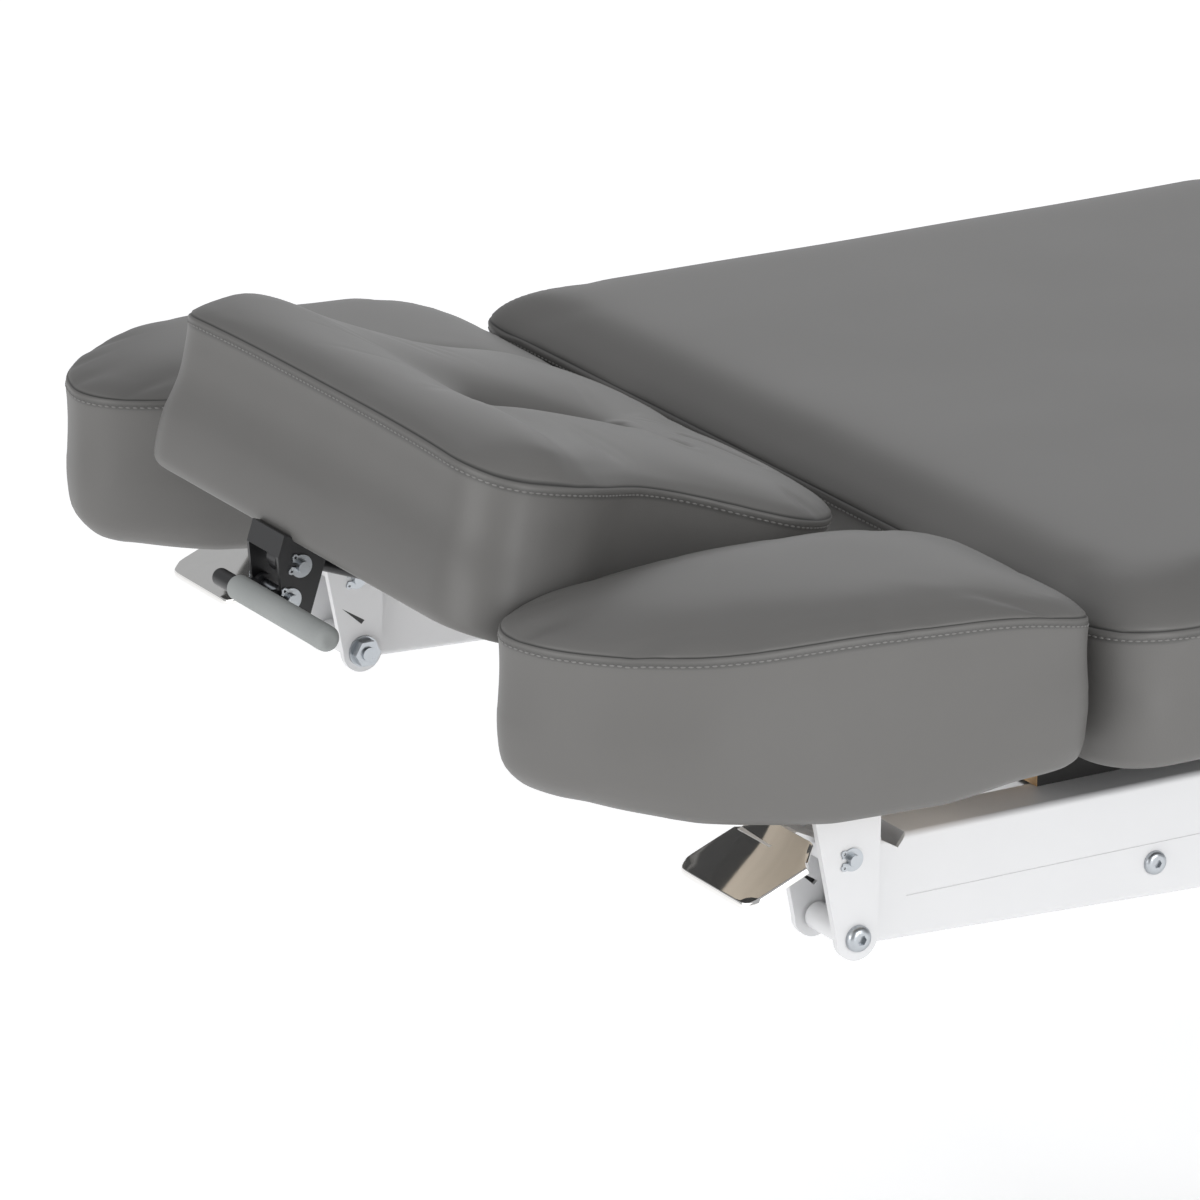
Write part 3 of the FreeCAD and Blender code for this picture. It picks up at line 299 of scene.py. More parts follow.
def makeBoard(name, axis, limit, dark, light, strip):
    # black paint, with bare plywood on the faces that lie below the limit along one axis,
    # inside a strip to each side of the bed (middle, half width)
    look = boardLook
    material, tree, shader, place = newFinish(name, {"Roughness": look["roughness"]})
    link = tree.links.new
    skin = addGroup(tree, sprayedSkin, place, Ripple=look["ripple"])
    stretch = addNode(tree, "ShaderNodeMapping", Scale=look["grainStretch"])
    grain = addNode(tree, "ShaderNodeTexNoise", Scale=1.0, Detail=4.0, Roughness=0.6)
    split = addNode(tree, "ShaderNodeSeparateXYZ")
    below = addNode(tree, "ShaderNodeMath", operation="LESS_THAN")
    below.inputs[1].default_value = limit
    side = addNode(tree, "ShaderNodeMath", operation="ABSOLUTE")
    inStrip = addNode(tree, "ShaderNodeMath", operation="COMPARE")
    inStrip.inputs[1].default_value, inStrip.inputs[2].default_value = strip
    bare = addNode(tree, "ShaderNodeMath", operation="MULTIPLY")
    link(place.outputs["Object"], stretch.inputs["Vector"])
    link(stretch.outputs["Vector"], grain.inputs["Vector"])
    link(place.outputs["Object"], split.inputs["Vector"])
    link(split.outputs[axis], below.inputs[0])
    link(split.outputs["Y"], side.inputs[0])
    link(side.outputs[0], inStrip.inputs[0])
    link(below.outputs[0], bare.inputs[0])
    link(inStrip.outputs[0], bare.inputs[1])
    paint = addMix(tree, skin.outputs["Tint"], look["dark"], look["light"])
    wood = addMix(tree, grain.outputs["Fac"], dark, light)
    link(addMix(tree, bare.outputs[0], paint, wood), shader.inputs["Base Color"])
    linkBump(tree, grain.outputs["Fac"], shader, look["bump"], look["bumpDepth"])
    return material


# one finish for each slot of the frame: dark and light tint, low and high roughness, ripple, bump
finishes = {
    "white_frame": makeSprayed("whitePowder", (0.655, 0.657, 0.664), (0.70, 0.702, 0.709), 0.36, 0.48),
    "grey_column": makeSprayed("greyColumn", (0.42, 0.43, 0.44), (0.47, 0.48, 0.49), 0.38, 0.52),
    "black_metal": makeSprayed("blackPowder", (0.010, 0.010, 0.011), (0.019, 0.019, 0.020), 0.28, 0.42),
    "vinyl": makeVinyl(vinylLook),
    "board": makeSprayed("blackBoard", boardLook["dark"], boardLook["light"], 0.55, 0.75, 120.0),
    "foam_grip": makeSprayed("greyFoam", (0.24, 0.255, 0.25), (0.34, 0.35, 0.345), 0.85, 0.97, 1400.0, 0.5),
    "zinc": makeMetal("zincPlate", (0.40, 0.425, 0.45), (0.50, 0.525, 0.55), 0.24, 0.34),
    "chrome": makeMetal("mirrorChrome", (0.80, 0.79, 0.77), (0.86, 0.85, 0.83), 0.05, 0.10, 0.01),
    "steel": makeMetal("plainSteel", (0.55, 0.54, 0.52), (0.68, 0.67, 0.66), 0.24, 0.40),
    "plastic": makeSprayed("blackPlastic", (0.016, 0.016, 0.017), (0.026, 0.026, 0.027),
                           0.42, 0.58, 900.0, 0.15),
    "rubber": makeSprayed("blackRubber", (0.014, 0.014, 0.014), (0.022, 0.022, 0.022),
                          0.65, 0.85, 500.0, 0.2),
}
for part in nodes.values():
    slotName = part.material_slots[0].material.name.split(".")[0]
    part.material_slots[0].material = finishes[slotName]
armBoardFinish = makeBoard("armBoardPly", "Z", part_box("left_arm_board")[0][2] + boardLook["skin"],
                           (0.50, 0.43, 0.35), (0.62, 0.55, 0.46), (0.337, 0.052))
nodes["back_boards"].material_slots[0].material = makeBoard(
    "backBoardPly", "X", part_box("back_boards")[0][0] + boardLook["skin"],
    (0.42, 0.25, 0.11), (0.58, 0.37, 0.18), (0.2, 0.2))
print("finishes on the frame")


# floor
bpy.ops.object.select_all(action="DESELECT")
bpy.ops.mesh.primitive_grid_add(x_subdivisions=4, y_subdivisions=4, size=studio["floorSize"],
                                location=(0, 0, 0))
floor = bpy.context.object
floor.name = "paleFloor"
floorFinish = makeSprayed("paleFloorPaint", studio["floorColour"], studio["floorColour"],
                          0.7, 0.8, 40.0, 0.0)
floorShader = floorFinish.node_tree.nodes["Principled BSDF"]
floorShader.inputs["Emission Color"].default_value = (1, 1, 1, 1)
floorShader.inputs["Emission Strength"].default_value = studio["floorGlow"]
floor.data.materials.append(floorFinish)


# padded pieces: even closed meshes that are blown up a little as cloth
def closedLine(points, perStep=24):
    # smooth closed line through the points
    line = []
    count = len(points)
    for index in range(count):
        before, start, end, after = (Vector(points[(index + shift) % count]) for shift in (-1, 0, 1, 2))
        bend = 2 * before - 5 * start + 4 * end - after
        twist = 3 * start - before - 3 * end + after
        for step in range(perStep):
            t = step / perStep
            line.append(0.5 * (2 * start + (end - before) * t + bend * t * t + twist * t * t * t))
    return line


def evenRun(line, count):
    # count points at even spacing from the line's first point up to, not including, its last
    lengths = [0.0]
    for before, after in zip(line, line[1:]):
        lengths.append(lengths[-1] + (after - before).length)
    run, at = [], 0
    for index in range(count):
        wanted = lengths[-1] * index / count
        while lengths[at + 1] < wanted:
            at += 1
        share = (wanted - lengths[at]) / max(lengths[at + 1] - lengths[at], 1e-9)
        run.append(line[at].lerp(line[at + 1], share))
    return run


def roundedPlan(headEnd, footEnd, half, radii, perSide):
    # rounded rectangle, each side running from one corner's middle to the next
    signs = [(headEnd, 1, -1, 225), (footEnd, -1, -1, 315), (footEnd, -1, 1, 45), (headEnd, 1, 1, 135)]
    corners = [(x + inX * radius, outY * (half - radius), radius, middle)
               for (x, inX, outY, middle), radius in zip(signs, radii)]
    plan = []
    for index in range(4):
        line = []
        for corner, first in ((corners[index], 0), (corners[(index + 1) % 4], -45)):
            centreX, centreY, radius, middle = corner
            for turn in range(0, 50, 5):
                angle = math.radians(middle + first + turn)
                line.append(Vector((centreX + radius * math.cos(angle), centreY + radius * math.sin(angle))))
        plan += evenRun(line, perSide)
    return plan


def outwardOf(plan):
    outward = []
    for index in range(len(plan)):
        along = plan[(index + 1) % len(plan)] - plan[index - 1]
        outward.append(Vector((along.y, -along.x)).normalized())
    return outward


def lerpTable(table, x):
    # eased steps between the rows
    for (x0, y0), (x1, y1) in zip(table, table[1:]):
        if x <= x1:
            t = max((x - x0) / (x1 - x0), 0.0)
            return y0 + (y1 - y0) * t * t * (3 - 2 * t)
    return table[-1][1]


def pointOn(plan, where):
    first = int(math.floor(where)) % len(plan)
    return plan[first].lerp(plan[(first + 1) % len(plan)], where - math.floor(where))


def treeOf(plan, perStep=4):
    # finds how far a place lies from the plan's edge
    tree = KDTree(len(plan) * perStep)
    for k in range(len(plan) * perStep):
        tree.insert(pointOn(plan, k / perStep).to_3d(), k)
    tree.balance()
    return tree


# rows of the nets: ways from the seam, heights above the foot, and the mark that sets the under cloth apart
padNet = {"seamStops": [0, 1.5, 4.4, 8.5, 14.0, 21.0, 29.0], "sideStops": 5,
          "footStops": [0.0, 1.5, 4.5, 9.0], "clothMark": 10, "tuckShare": 0.22}
# how firmly the cloth is held up the side: pinned at the foot, then less and less
padHold = {"pinned": 2, "first": 0.9, "fall": 1.6, "least": 0.30}


def holdAt(height, seam):
    if height < padHold["pinned"]:
        return 1.0
    return max(padHold["least"], padHold["first"] - padHold["fall"] * height / seam)


def sideHeights(seam, step):
    # heights up the side, close together under the seam
    near = [seam - stop for stop in padNet["seamStops"][:padNet["sideStops"]]]
    low = padNet["footStops"]
    rows = round((near[-1] - low[-1]) / step)
    middle = [low[-1] + (near[-1] - low[-1]) * k / rows for k in range(1, rows)]
    return low + middle + near[::-1]


def ringShares(half, reach):
    # the share of the plan that each ring of the net stands at, close together beside the seam
    stops = padNet["seamStops"]
    rest = half - len(stops) + 1
    last = stops[-1]
    ways = stops + [last + (reach - last) * k / rest for k in range(1, rest + 1)]
    return [1 - way / reach for way in ways]


class PadMesh:
    # points, faces, the cloth's hold on each point, and each point's way from the seam
    def __init__(self):
        self.points = []
        self.faces = []
        self.hold = []
        self.fromSeam = []

    def add(self, point, hold, away):
        self.points.append(point)
        self.hold.append(hold)
        self.fromSeam.append(away)
        return len(self.points) - 1

    def band(self, lower, upper):
        count = len(lower)
        for k in range(count):
            after = (k + 1) % count
            self.faces.append((lower[k], lower[after], upper[after], upper[k]))

    def cap(self, loop, perSide, pointAt, flip):
        # square net inside a loop of four sides
        grid = {}
        half = perSide // 2
        for i in range(perSide + 1):
            for j in range(perSide + 1):
                ring = min(i, j, perSide - i, perSide - j)
                if ring == half:
                    where = 0.0
                else:
                    a = (i - half) / (half - ring)
                    b = (j - half) / (half - ring)
                    if b <= -1:
                        where = (a + 1) / 2 * perSide
                    elif a >= 1:
                        where = perSide + (b + 1) / 2 * perSide
                    elif b >= 1:
                        where = 2 * perSide + (1 - a) / 2 * perSide
                    else:
                        where = 3 * perSide + (1 - b) / 2 * perSide
                if ring == 0:
                    grid[i, j] = loop[round(where) % len(loop)]
                else:
                    grid[i, j] = self.add(*pointAt(ring, half, where))
        for i in range(perSide):
            for j in range(perSide):
                face = (grid[i, j], grid[i + 1, j], grid[i + 1, j + 1], grid[i, j + 1])
                self.faces.append(face[::-1] if flip else face)


def buildPad(spec):
    pad = PadMesh()
    plan, perSide = spec["plan"], spec["perSide"]
    outward = outwardOf(plan)
    middle = Vector(spec["middle"])
    seam, crown, bottom = spec["seam"], spec["crown"], spec["bottom"]
    tree = treeOf(plan)
    loops = []
    for height in sideHeights(seam, spec["step"]):
        share = height / seam
        inset = lerpTable(spec["side"], share)
        hold = holdAt(height, seam)
        tuck = max(0.0, 1 - height / (padNet["tuckShare"] * seam)) ** 2
        loop = []
        for k, point in enumerate(plan):
            place = point - outward[k] * (inset + tuck * spec["tipInset"](point))
            rise = spec["seamRise"](place) * share + spec["footRise"](place) * (1 - share)
            loop.append(pad.add(Vector((place.x, place.y, bottom + height + rise)), hold, height - seam))
        loops.append(loop)
    for lower, upper in zip(loops, loops[1:]):
        pad.band(lower, upper)
    seamLoop = loops[-1]
    seamPlan = [pad.points[k].to_2d() for k in seamLoop]
    bottomPlan = [pad.points[k].to_2d() for k in loops[0]]
    shares = ringShares(perSide // 2, spec["reach"])

    def topAt(ring, half, where):
        place = middle + (pointOn(seamPlan, where) - middle) * shares[ring]
        away = tree.find(place.to_3d())[2]
        lift = crown * (1 - math.exp(-away / spec["round"]))
        rise = spec["seamRise"](place)
        return Vector((place.x, place.y, bottom + seam + rise + lift)), 0.0, away

    def underAt(ring, half, where):
        place = middle + (pointOn(bottomPlan, where) - middle) * (1 - ring / half)
        away = -seam - padNet["clothMark"]
        return Vector((place.x, place.y, bottom + spec["footRise"](place))), 1.0, away

    pad.cap(seamLoop, perSide, topAt, False)
    pad.cap(loops[0], perSide, underAt, True)
    return pad, seamLoop


def padObject(name, pad):
    mesh = bpy.data.meshes.new(name)
    mesh.from_pydata([point * mm for point in pad.points], [], pad.faces)
    away = mesh.attributes.new("fromSeam", "FLOAT", "POINT")
    away.data.foreach_set("value", pad.fromSeam)
    piece = bpy.data.objects.new(name, mesh)
    bpy.context.scene.collection.objects.link(piece)
    held = piece.vertex_groups.new(name="held")
    for index, hold in enumerate(pad.hold):
        if hold > 0:
            held.add([index], hold, "REPLACE")
    return piece


# back, seat and leg pads: inset of the side by share of its height
sectionPad = {
    "halfWidth": 405.0, "bottom": 684.0, "seam": 92.0, "crown": 22.0, "round": 16.0, "perSide": 60,
    "step": 9.5, "drawnIn": 0.004,
    "side": [(0.0, 7.0), (0.05, 3.0), (0.14, 1.2), (0.32, 1.0), (0.62, 4.5), (0.88, 2.5), (1.0, 0.0)],
}


def flat(place):
    return 0.0


def sectionSpec(headEnd, footEnd, radii):
    spec = dict(sectionPad)
    middle = Vector(((headEnd + footEnd) / 2, 0))
    reach = (footEnd - headEnd) / 2
    drawn = []
    for point in roundedPlan(headEnd, footEnd, spec["halfWidth"], radii, spec["perSide"]):
        # long sides are drawn in a little between the corners
        along = max(0.0, 1 - ((point.x - middle.x) / reach) ** 2)
        drawn.append(Vector((point.x, point.y * (1 - spec["drawnIn"] * along))))
    spec.update(plan=drawn, middle=middle, reach=reach, seamRise=flat, footRise=flat, tipInset=flat)
    return spec


# armrest pads: plan from the pivot as (x, outward); ramps of the lower edge and the tip as (start, reach)
armPad = {
    "pivot": (-756.0, 318.0), "bottom": 692.0, "seam": 118.0, "perSide": 40, "middle": (-32.0, -2.0),
    "plan": [(-217, -24), (-208, 2), (-187, 29), (-160, 50), (-132, 67), (-92, 79), (-50, 86), (0, 90),
             (44, 93), (80, 92.5), (108, 90), (127, 84), (140, 71), (146, 48), (147, 20), (147, -16),
             (146, -50), (138, -76), (116, -90), (80, -94), (30, -97), (-20, -98), (-70, -97), (-115, -94),
             (-155, -88), (-185, -76), (-207, -60), (-217, -42)],
    "startCorner": 9, "round": 15.0, "step": 9.0, "reach": 95.0,
    "side": [(0.0, 9.0), (0.05, 3.5), (0.16, 0.8), (0.4, -1.0), (0.75, 0.6), (1.0, 0.0)],
    "footRise": 6.0, "footRamp": (30, 50), "tipRamp": (50, 130), "tipLiftRamp": (60, 60),
    "tipInset": 16.0, "tipInsetRamp": (140.0, 60),
}
# the two sides are set a little differently:
# fall to the foot (start, reach, fall), hump (height, place, width), lift of the top and lower edge
armSides = {
    -1: {"fall": (35.0, 102.0, 17.0), "hump": (3.5, -40.0, 70.0), "tipLift": 0.0, "crown": 13.0,
         "lowLift": -1.2, "tipRise": 14.5},
    1: {"fall": (0.0, 120.0, 28.0), "hump": (-8.0, 20.0, 55.0), "tipLift": 2.5, "crown": 10.0,
        "lowLift": 3.0, "tipRise": 9.5},
}


def armSpec(side):
    spec = dict(armPad)
    own = armSides[side]
    pivotX, pivotY = armPad["pivot"]
    points = [(pivotX + x, side * (pivotY + out)) for x, out in armPad["plan"]]
    if side > 0:
        points.reverse()
    points = points[armPad["startCorner"]:] + points[:armPad["startCorner"]]
    line = closedLine(points)
    middleX, middleY = armPad["middle"]

    def seamRise(place):
        # the top stands a little higher in the middle and falls away to the foot
        x = place.x - pivotX
        start, reach, drop = own["fall"]
        fall = max(0.0, (x - start) / reach) ** 2
        lift = own["tipLift"] * ramp(-x, *armPad["tipLiftRamp"])
        height, humpPlace, humpWidth = own["hump"]
        return height * bell(x, humpPlace, humpWidth) - drop * fall + lift

    def footRise(place):
        x = place.x - pivotX
        foot = armPad["footRise"] * ramp(x, *armPad["footRamp"])
        return foot + own["tipRise"] * ramp(-x, *armPad["tipRamp"]) + own["lowLift"]

    def tipInset(place):
        return armPad["tipInset"] * ramp(pivotX - place.x, *armPad["tipInsetRamp"])

    spec.update(plan=evenRun(line + line[:1], 4 * armPad["perSide"]), crown=own["crown"],
                middle=Vector((pivotX + middleX, side * (pivotY + middleY))),
                seamRise=seamRise, footRise=footRise, tipInset=tipInset)
    return spec


# headrest pad, drawn level: u runs from the hinge to the head end, w up from the board
headPad = {
    "hinge": (-626.0, 680.0), "tilt": 18.0, "neck": 55.0, "head": 376.0, "halfWidth": 205.0,
    "radii": (40.0, 95.0, 95.0, 52.0), "bottom": 0.5, "seam": 103.5, "crown": 11.0, "round": 14.0,
    "perSide": 60, "step": 9.5,
    "side": [(0.0, 6.0), (0.05, 2.5), (0.14, 0.8), (0.32, 0.5), (0.62, 4.5), (0.88, 2.5), (1.0, 0.0)],
    "waist": 25.0, "waistPlace": 205.0, "waistReach": 90.0,
    "nearFlare": 17.0, "footFlare": 22.0, "flareRamp": (230, 100),
    "cornerDrop": 4, "cornerRamp": (290, 70), "cornerEase": 25,
    "hole": {"place": 198.0, "halfLength": 52.0, "halfWidth": 21.0, "corner": 20.0, "shift": 6.0},
    "rim": 12.0, "rimSoft": 9.0, "rimSofter": 8.0, "rimRamp": (-20, 40),
    "wallDrop": 3, "wallRows": 9, "wallBelly": 3.0, "wallPinned": 20, "wallHold": 0.5, "wallAway": 60.0,
    "topRings": [0.02, 0.05, 0.09] + [0.135 + 0.045 * k for k in range(17)] + [0.90, 0.93, 0.96, 0.985],
    "underRings": (0.8, 0.6, 0.4, 0.2),
}
# forms of its top: roll along the head end, dip behind it, ridges at the sides, valley to the neck
headForm = {
    "edge": 30, "rollEdge": 18,
    "roll": 9.0, "rollPlace": (320, 30),
    "dip": 4.5, "dipEase": 3.5, "dipRamp": (0, 60), "dipPlace": 264, "dipSlant": 0.19, "dipWidth": 18,
    "ridge": 2.5, "ridgeAcross": (90, 38), "ridgePlace": (185, 60),
    "valley": 4.0, "valleyAcross": (30, 34), "valleyStart": 130, "valleyEase": 14,
}
# creases in its top, as (u, y)
headFolds = {
    "lines": [[(140, 2), (145, -30), (153, -74), (146, -92)], [(118, -44), (108, -70), (98, -104)],
              [(277, 20), (270, -4), (276, -34)]],
    "depth": 1.7, "width": 4.0, "lip": 0.35, "lipPlace": 2.4,
}


def headPlace(u, y, w):
    angle = math.radians(headPad["tilt"])
    x, z = headPad["hinge"]
    return Vector((x - u * math.cos(angle) + w * math.sin(angle), y,
                   z + u * math.sin(angle) + w * math.cos(angle)))


def headFlare(place):
    # the near side stands out a little towards the head
    share = ramp(-place.x, *headPad["flareRamp"])
    return share * share * (3 - 2 * share) if place.y < 0 else 0.0


def headCorner(place):
    # one at the two head corners, nothing elsewhere
    return ramp(-place.x, *headPad["cornerRamp"]) * (abs(place.y) / headPad["halfWidth"]) ** 3


def headTop(place, away, fromHole):
    # height of the top, with the rolled rim of the hole
    spec, form = headPad, headForm
    u, y = -place.x, place.y
    inside = ramp(away, 0, form["edge"])
    lift = spec["crown"] * (1 - math.exp(-away / spec["round"]))
    roll = form["roll"] * bell(u, *form["rollPlace"]) * ramp(away, 0, form["rollEdge"])
    dip = (form["dipEase"] * ramp(y, *form["dipRamp"]) - form["dip"]) * inside
    dip *= bell(u, form["dipPlace"] + form["dipSlant"] * abs(y), form["dipWidth"])
    ridge = form["ridge"] * bell(abs(y), *form["ridgeAcross"]) * bell(u, *form["ridgePlace"]) * inside
    neckward = 1 / (1 + math.exp((u - form["valleyStart"]) / form["valleyEase"]))
    valley = form["valley"] * bell(y, *form["valleyAcross"]) * neckward * inside
    soft = spec["rimSoft"] + spec["rimSofter"] * ramp(y, *spec["rimRamp"])
    rim = spec["rim"] * math.exp(-fromHole / soft)
    corner = spec["cornerDrop"] * headCorner(place) * math.exp(-away / spec["cornerEase"])
    return spec["seam"] + lift + roll + dip + ridge - valley - rim - corner


def buildHead(spec):
    # a ring with the face hole through it, drawn level in (-u, y) and tipped at the end
    pad = PadMesh()
    perSide, half = spec["perSide"], spec["halfWidth"]
    outer = []
    for point in roundedPlan(-spec["head"], -spec["neck"], half, spec["radii"], perSide):
        along = max(0.0, 1 - ((-point.x - spec["waistPlace"]) / spec["waistReach"]) ** 2)
        wider = spec["nearFlare"] * headFlare(point) - spec["waist"] * along ** 2
        outer.append(Vector((point.x, point.y * (1 + wider / half))))
    hole = spec["hole"]
    inner = [point + Vector((0, hole["shift"])) for point in
             roundedPlan(-hole["place"] - hole["halfLength"], -hole["place"] + hole["halfLength"],
                         hole["halfWidth"], [hole["corner"]] * 4, perSide)]
    outward, inward = outwardOf(outer), outwardOf(inner)
    outerTree, innerTree = treeOf(outer), treeOf(inner)
    seam, bottom = spec["seam"], spec["bottom"]
    loops = []
    for height in sideHeights(seam, spec["step"]):
        share = height / seam
        inset = lerpTable(spec["side"], share)
        hold = holdAt(height, seam)
        loop = []
        for k, point in enumerate(outer):
            place = point - outward[k] * inset
            drop = spec["cornerDrop"] * headCorner(place) * share
            place.y *= 1 + spec["footFlare"] / half * headFlare(place) * (1 - share)
            loop.append(pad.add(Vector((place.x, place.y, bottom + height - drop)), hold, height - seam))
        loops.append(loop)
    seamLoop = loops[-1]
    for share in spec["topRings"]:
        loop = []
        for k in range(len(outer)):
            place = outer[k].lerp(inner[k], share)
            away = outerTree.find(place.to_3d())[2]
            fromHole = innerTree.find(place.to_3d())[2]
            height = bottom + headTop(place, away, fromHole)
            loop.append(pad.add(Vector((place.x, place.y, height)), 0.0, away))
        loops.append(loop)
    wallTop = seam + spec["crown"] - spec["rim"] - spec["wallDrop"]
    for row in range(spec["wallRows"] + 1):
        height = wallTop * (1 - row / spec["wallRows"])
        hold = 1.0 if height < spec["wallPinned"] else spec["wallHold"]
        loop = []
        for k, point in enumerate(inner):
            place = point + inward[k] * (spec["wallBelly"] * math.sin(math.pi * height / wallTop))
            loop.append(pad.add(Vector((place.x, place.y, bottom + height)), hold, spec["wallAway"]))
        loops.append(loop)
    for share in spec["underRings"]:
        loop = []
        for k in range(len(outer)):
            place = pad.points[loops[0][k]].to_2d().lerp(inner[k], share)
            loop.append(pad.add(Vector((place.x, place.y, bottom)), 1.0, -seam - padNet["clothMark"]))
        loops.append(loop)
    for lower, upper in zip(loops, loops[1:] + loops[:1]):
        pad.band(lower, upper)
    pad.points = [headPlace(-point.x, point.y, point.z) for point in pad.points]
    return pad, seamLoop


def headFold(point):
    # creases pressed into the top of the headrest, each with a soft lip
    angle = math.radians(headPad["tilt"])
    dx = point.x / mm - headPad["hinge"][0]
    dz = point.z / mm - headPad["hinge"][1]
    if dx * math.sin(angle) + dz * math.cos(angle) < headPad["seam"]:
        return 0.0
    here = Vector((dz * math.sin(angle) - dx * math.cos(angle), point.y / mm))
    depth = 0.0
    for fold in headFolds["lines"]:
        nearest = math.inf
        for first, second in zip(fold, fold[1:]):
            start, along = Vector(first), Vector(second) - Vector(first)
            share = ramp((here - start).dot(along), 0, along.length_squared)
            nearest = min(nearest, (here - start - along * share).length)
        way = nearest / headFolds["width"]
        lip = headFolds["lip"] * bell(way, headFolds["lipPlace"], 1)
        depth += headFolds["depth"] * (lip - bell(way, 0, 1))
    return depth


print("building pads")
padSpecs = [
    ("backPad", "back_cushion", "backrest", sectionSpec(-606.0, 90.0, (46, 46, 46, 28))),
    ("seatPad", "seat_cushion", "bed_frame", sectionSpec(106.0, 484.0, (46, 46, 46, 46))),
    ("legPad", "leg_cushion", "leg", sectionSpec(500.0, 1004.7, (46, 46, 46, 46))),
    ("rightArmPad", "right_arm_cushion", "arm_right", armSpec(-1)),
    ("leftArmPad", "left_arm_cushion", "arm_left", armSpec(1)),
]
pads = []
for name, node, body, spec in padSpecs:
    pad, seamLoop = buildPad(spec)
    pads.append((padObject(name, pad), node, body, seamLoop))
pad, seamLoop = buildHead(headPad)
pads.append((padObject("headPad", pad), "head_cushion", "headrest", seamLoop))


clothSettings = {"pressure": 4.0, "frames": 20, "cap": 0.0045, "tension": 12.0, "bending": 0.6,
                 "quality": 4, "mass": 0.4}


def blowUp(pieces, spec):
    # run all pads as cloth at once, then keep each point's way within the cap
    scene = bpy.context.scene
    for piece in pieces:
        cloth = piece.modifiers.new("blown", "CLOTH")
        settings = cloth.settings
        settings.quality = spec["quality"]
        settings.mass = spec["mass"]
        settings.tension_stiffness = spec["tension"]
        settings.compression_stiffness = spec["tension"]
        settings.bending_stiffness = spec["bending"]
        settings.use_pressure = True
        settings.uniform_pressure_force = spec["pressure"]
        settings.effector_weights.gravity = 0
        settings.vertex_group_mass = "held"
        cloth.point_cache.frame_start = 1
        cloth.point_cache.frame_end = spec["frames"]
    for number in range(1, spec["frames"] + 1):
        scene.frame_set(number)
    graph = bpy.context.evaluated_depsgraph_get()
    for piece in pieces:
        blown = piece.evaluated_get(graph).to_mesh()
        places = [point.co.copy() for point in blown.vertices]
        piece.evaluated_get(graph).to_mesh_clear()
        furthest = 0.0
        for point, place in zip(piece.data.vertices, places):
            way = place - point.co
            furthest = max(furthest, way.length)
            if way.length > 1e-7:
                way *= spec["cap"] * math.tanh(way.length / spec["cap"]) / way.length
            point.co += way
        piece.modifiers.clear()
        print("blown", piece.name, "furthest", round(furthest / mm, 2), "mm")
    scene.frame_set(1)


blowUp([entry[0] for entry in pads], clothSettings)


# seams and covers: groove and puff, pucker and slow waves, and painted shade along the seam line and in the
# needle holes
seamForm = {
    "groove": 1.1, "grooveWidth": 1.1, "puff": 0.3, "puffPlace": (8, 5),
    "pucker": 0.35, "puckerScale": 38, "puckerWidth": 16, "puckerStart": 1.5,
    "wave": 0.8, "waveScale": 9, "waveShift": (3, 5, 1), "waveLowest": -60,
    "seamShadeWidth": 0.45, "needleShade": 0.62, "needleShadeWidth": 1.5, "clothMargin": 0.2, "clothFacing": -0.9,
}
armEase = {"start": 18, "factor": 0.5, "rounds": 40}
stitch = {"pitch": 4.8, "length": 3.5, "width": 1.4, "proud": 0.5, "below": 5.6,
          "probeOut": 15, "probeIn": 50}


def easeTop(piece, away, spec):
    # take faint creases out of the top cover
    top = piece.vertex_groups.new(name="topCover")
    top.add([index for index, way in enumerate(away) if way > spec["start"]], 1.0, "REPLACE")
    ease = piece.modifiers.new("ease", "SMOOTH")
    ease.factor = spec["factor"]
    ease.iterations = spec["rounds"]
    ease.vertex_group = top.name
    bpy.ops.object.modifier_apply(modifier="ease")


def coverRise(point, away, spec):
    # how far the cover stands off its even form beside the seam, and in slow waves over the top
    way = abs(away)
    rise = spec["puff"] * bell(way, *spec["puffPlace"]) - spec["groove"] * bell(way, 0, spec["grooveWidth"])
    if way > spec["puckerStart"]:
        rise += spec["pucker"] * noise.noise(point * spec["puckerScale"]) * bell(way, 0, spec["puckerWidth"])
    if away > spec["waveLowest"]:
        rise += spec["wave"] * noise.noise(point * spec["waveScale"] + Vector(spec["waveShift"]))
    return rise


def finishPad(piece, node, body, seamLoop, spec):
    seamLine = [piece.data.vertices[k].co.copy() for k in seamLoop]
    bpy.ops.object.select_all(action="DESELECT")
    bpy.context.view_layer.objects.active = piece
    piece.select_set(True)
    finer = piece.modifiers.new("finer", "SUBSURF")
    finer.levels = 1
    finer.render_levels = 1
    bpy.ops.object.modifier_apply(modifier="finer")
    mesh = piece.data
    away = [0.0] * len(mesh.vertices)
    mesh.attributes["fromSeam"].data.foreach_get("value", away)
    if node.endswith("arm_cushion"):
        easeTop(piece, away, armEase)
    normals = [point.normal.copy() for point in mesh.vertices]
    dark = []
    for point, way, normal in zip(mesh.vertices, away, normals):
        fold = headFold(point.co) if node == "head_cushion" else 0.0
        point.co += normal * (coverRise(point.co, way, spec) + fold) * mm
        # painted shade along the seam groove and in the needle holes a little below it, stored as seamLine
        needleShade = spec["needleShade"] * bell(way, -stitch["below"], spec["needleShadeWidth"])
        dark.append(bell(way, 0, spec["seamShadeWidth"]) + needleShade)
    # black cloth closes the underside, a little way in from the edge
    lowest = min(away) + spec["clothMargin"]
    under = mesh.attributes.new("underside", "FLOAT", "POINT")
    under.data.foreach_set("value", [1.0 if way <= lowest and normal.z < spec["clothFacing"] else 0.0
                                     for way, normal in zip(away, normals)])
    line = mesh.attributes.new("seamLine", "FLOAT", "POINT")
    line.data.foreach_set("value", dark)
    for face in mesh.polygons:
        face.use_smooth = True
    mesh.materials.append(finishes["vinyl"])
    piece.vertex_groups.clear()
    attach(piece, body)
    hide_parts(node)
    return seamLine


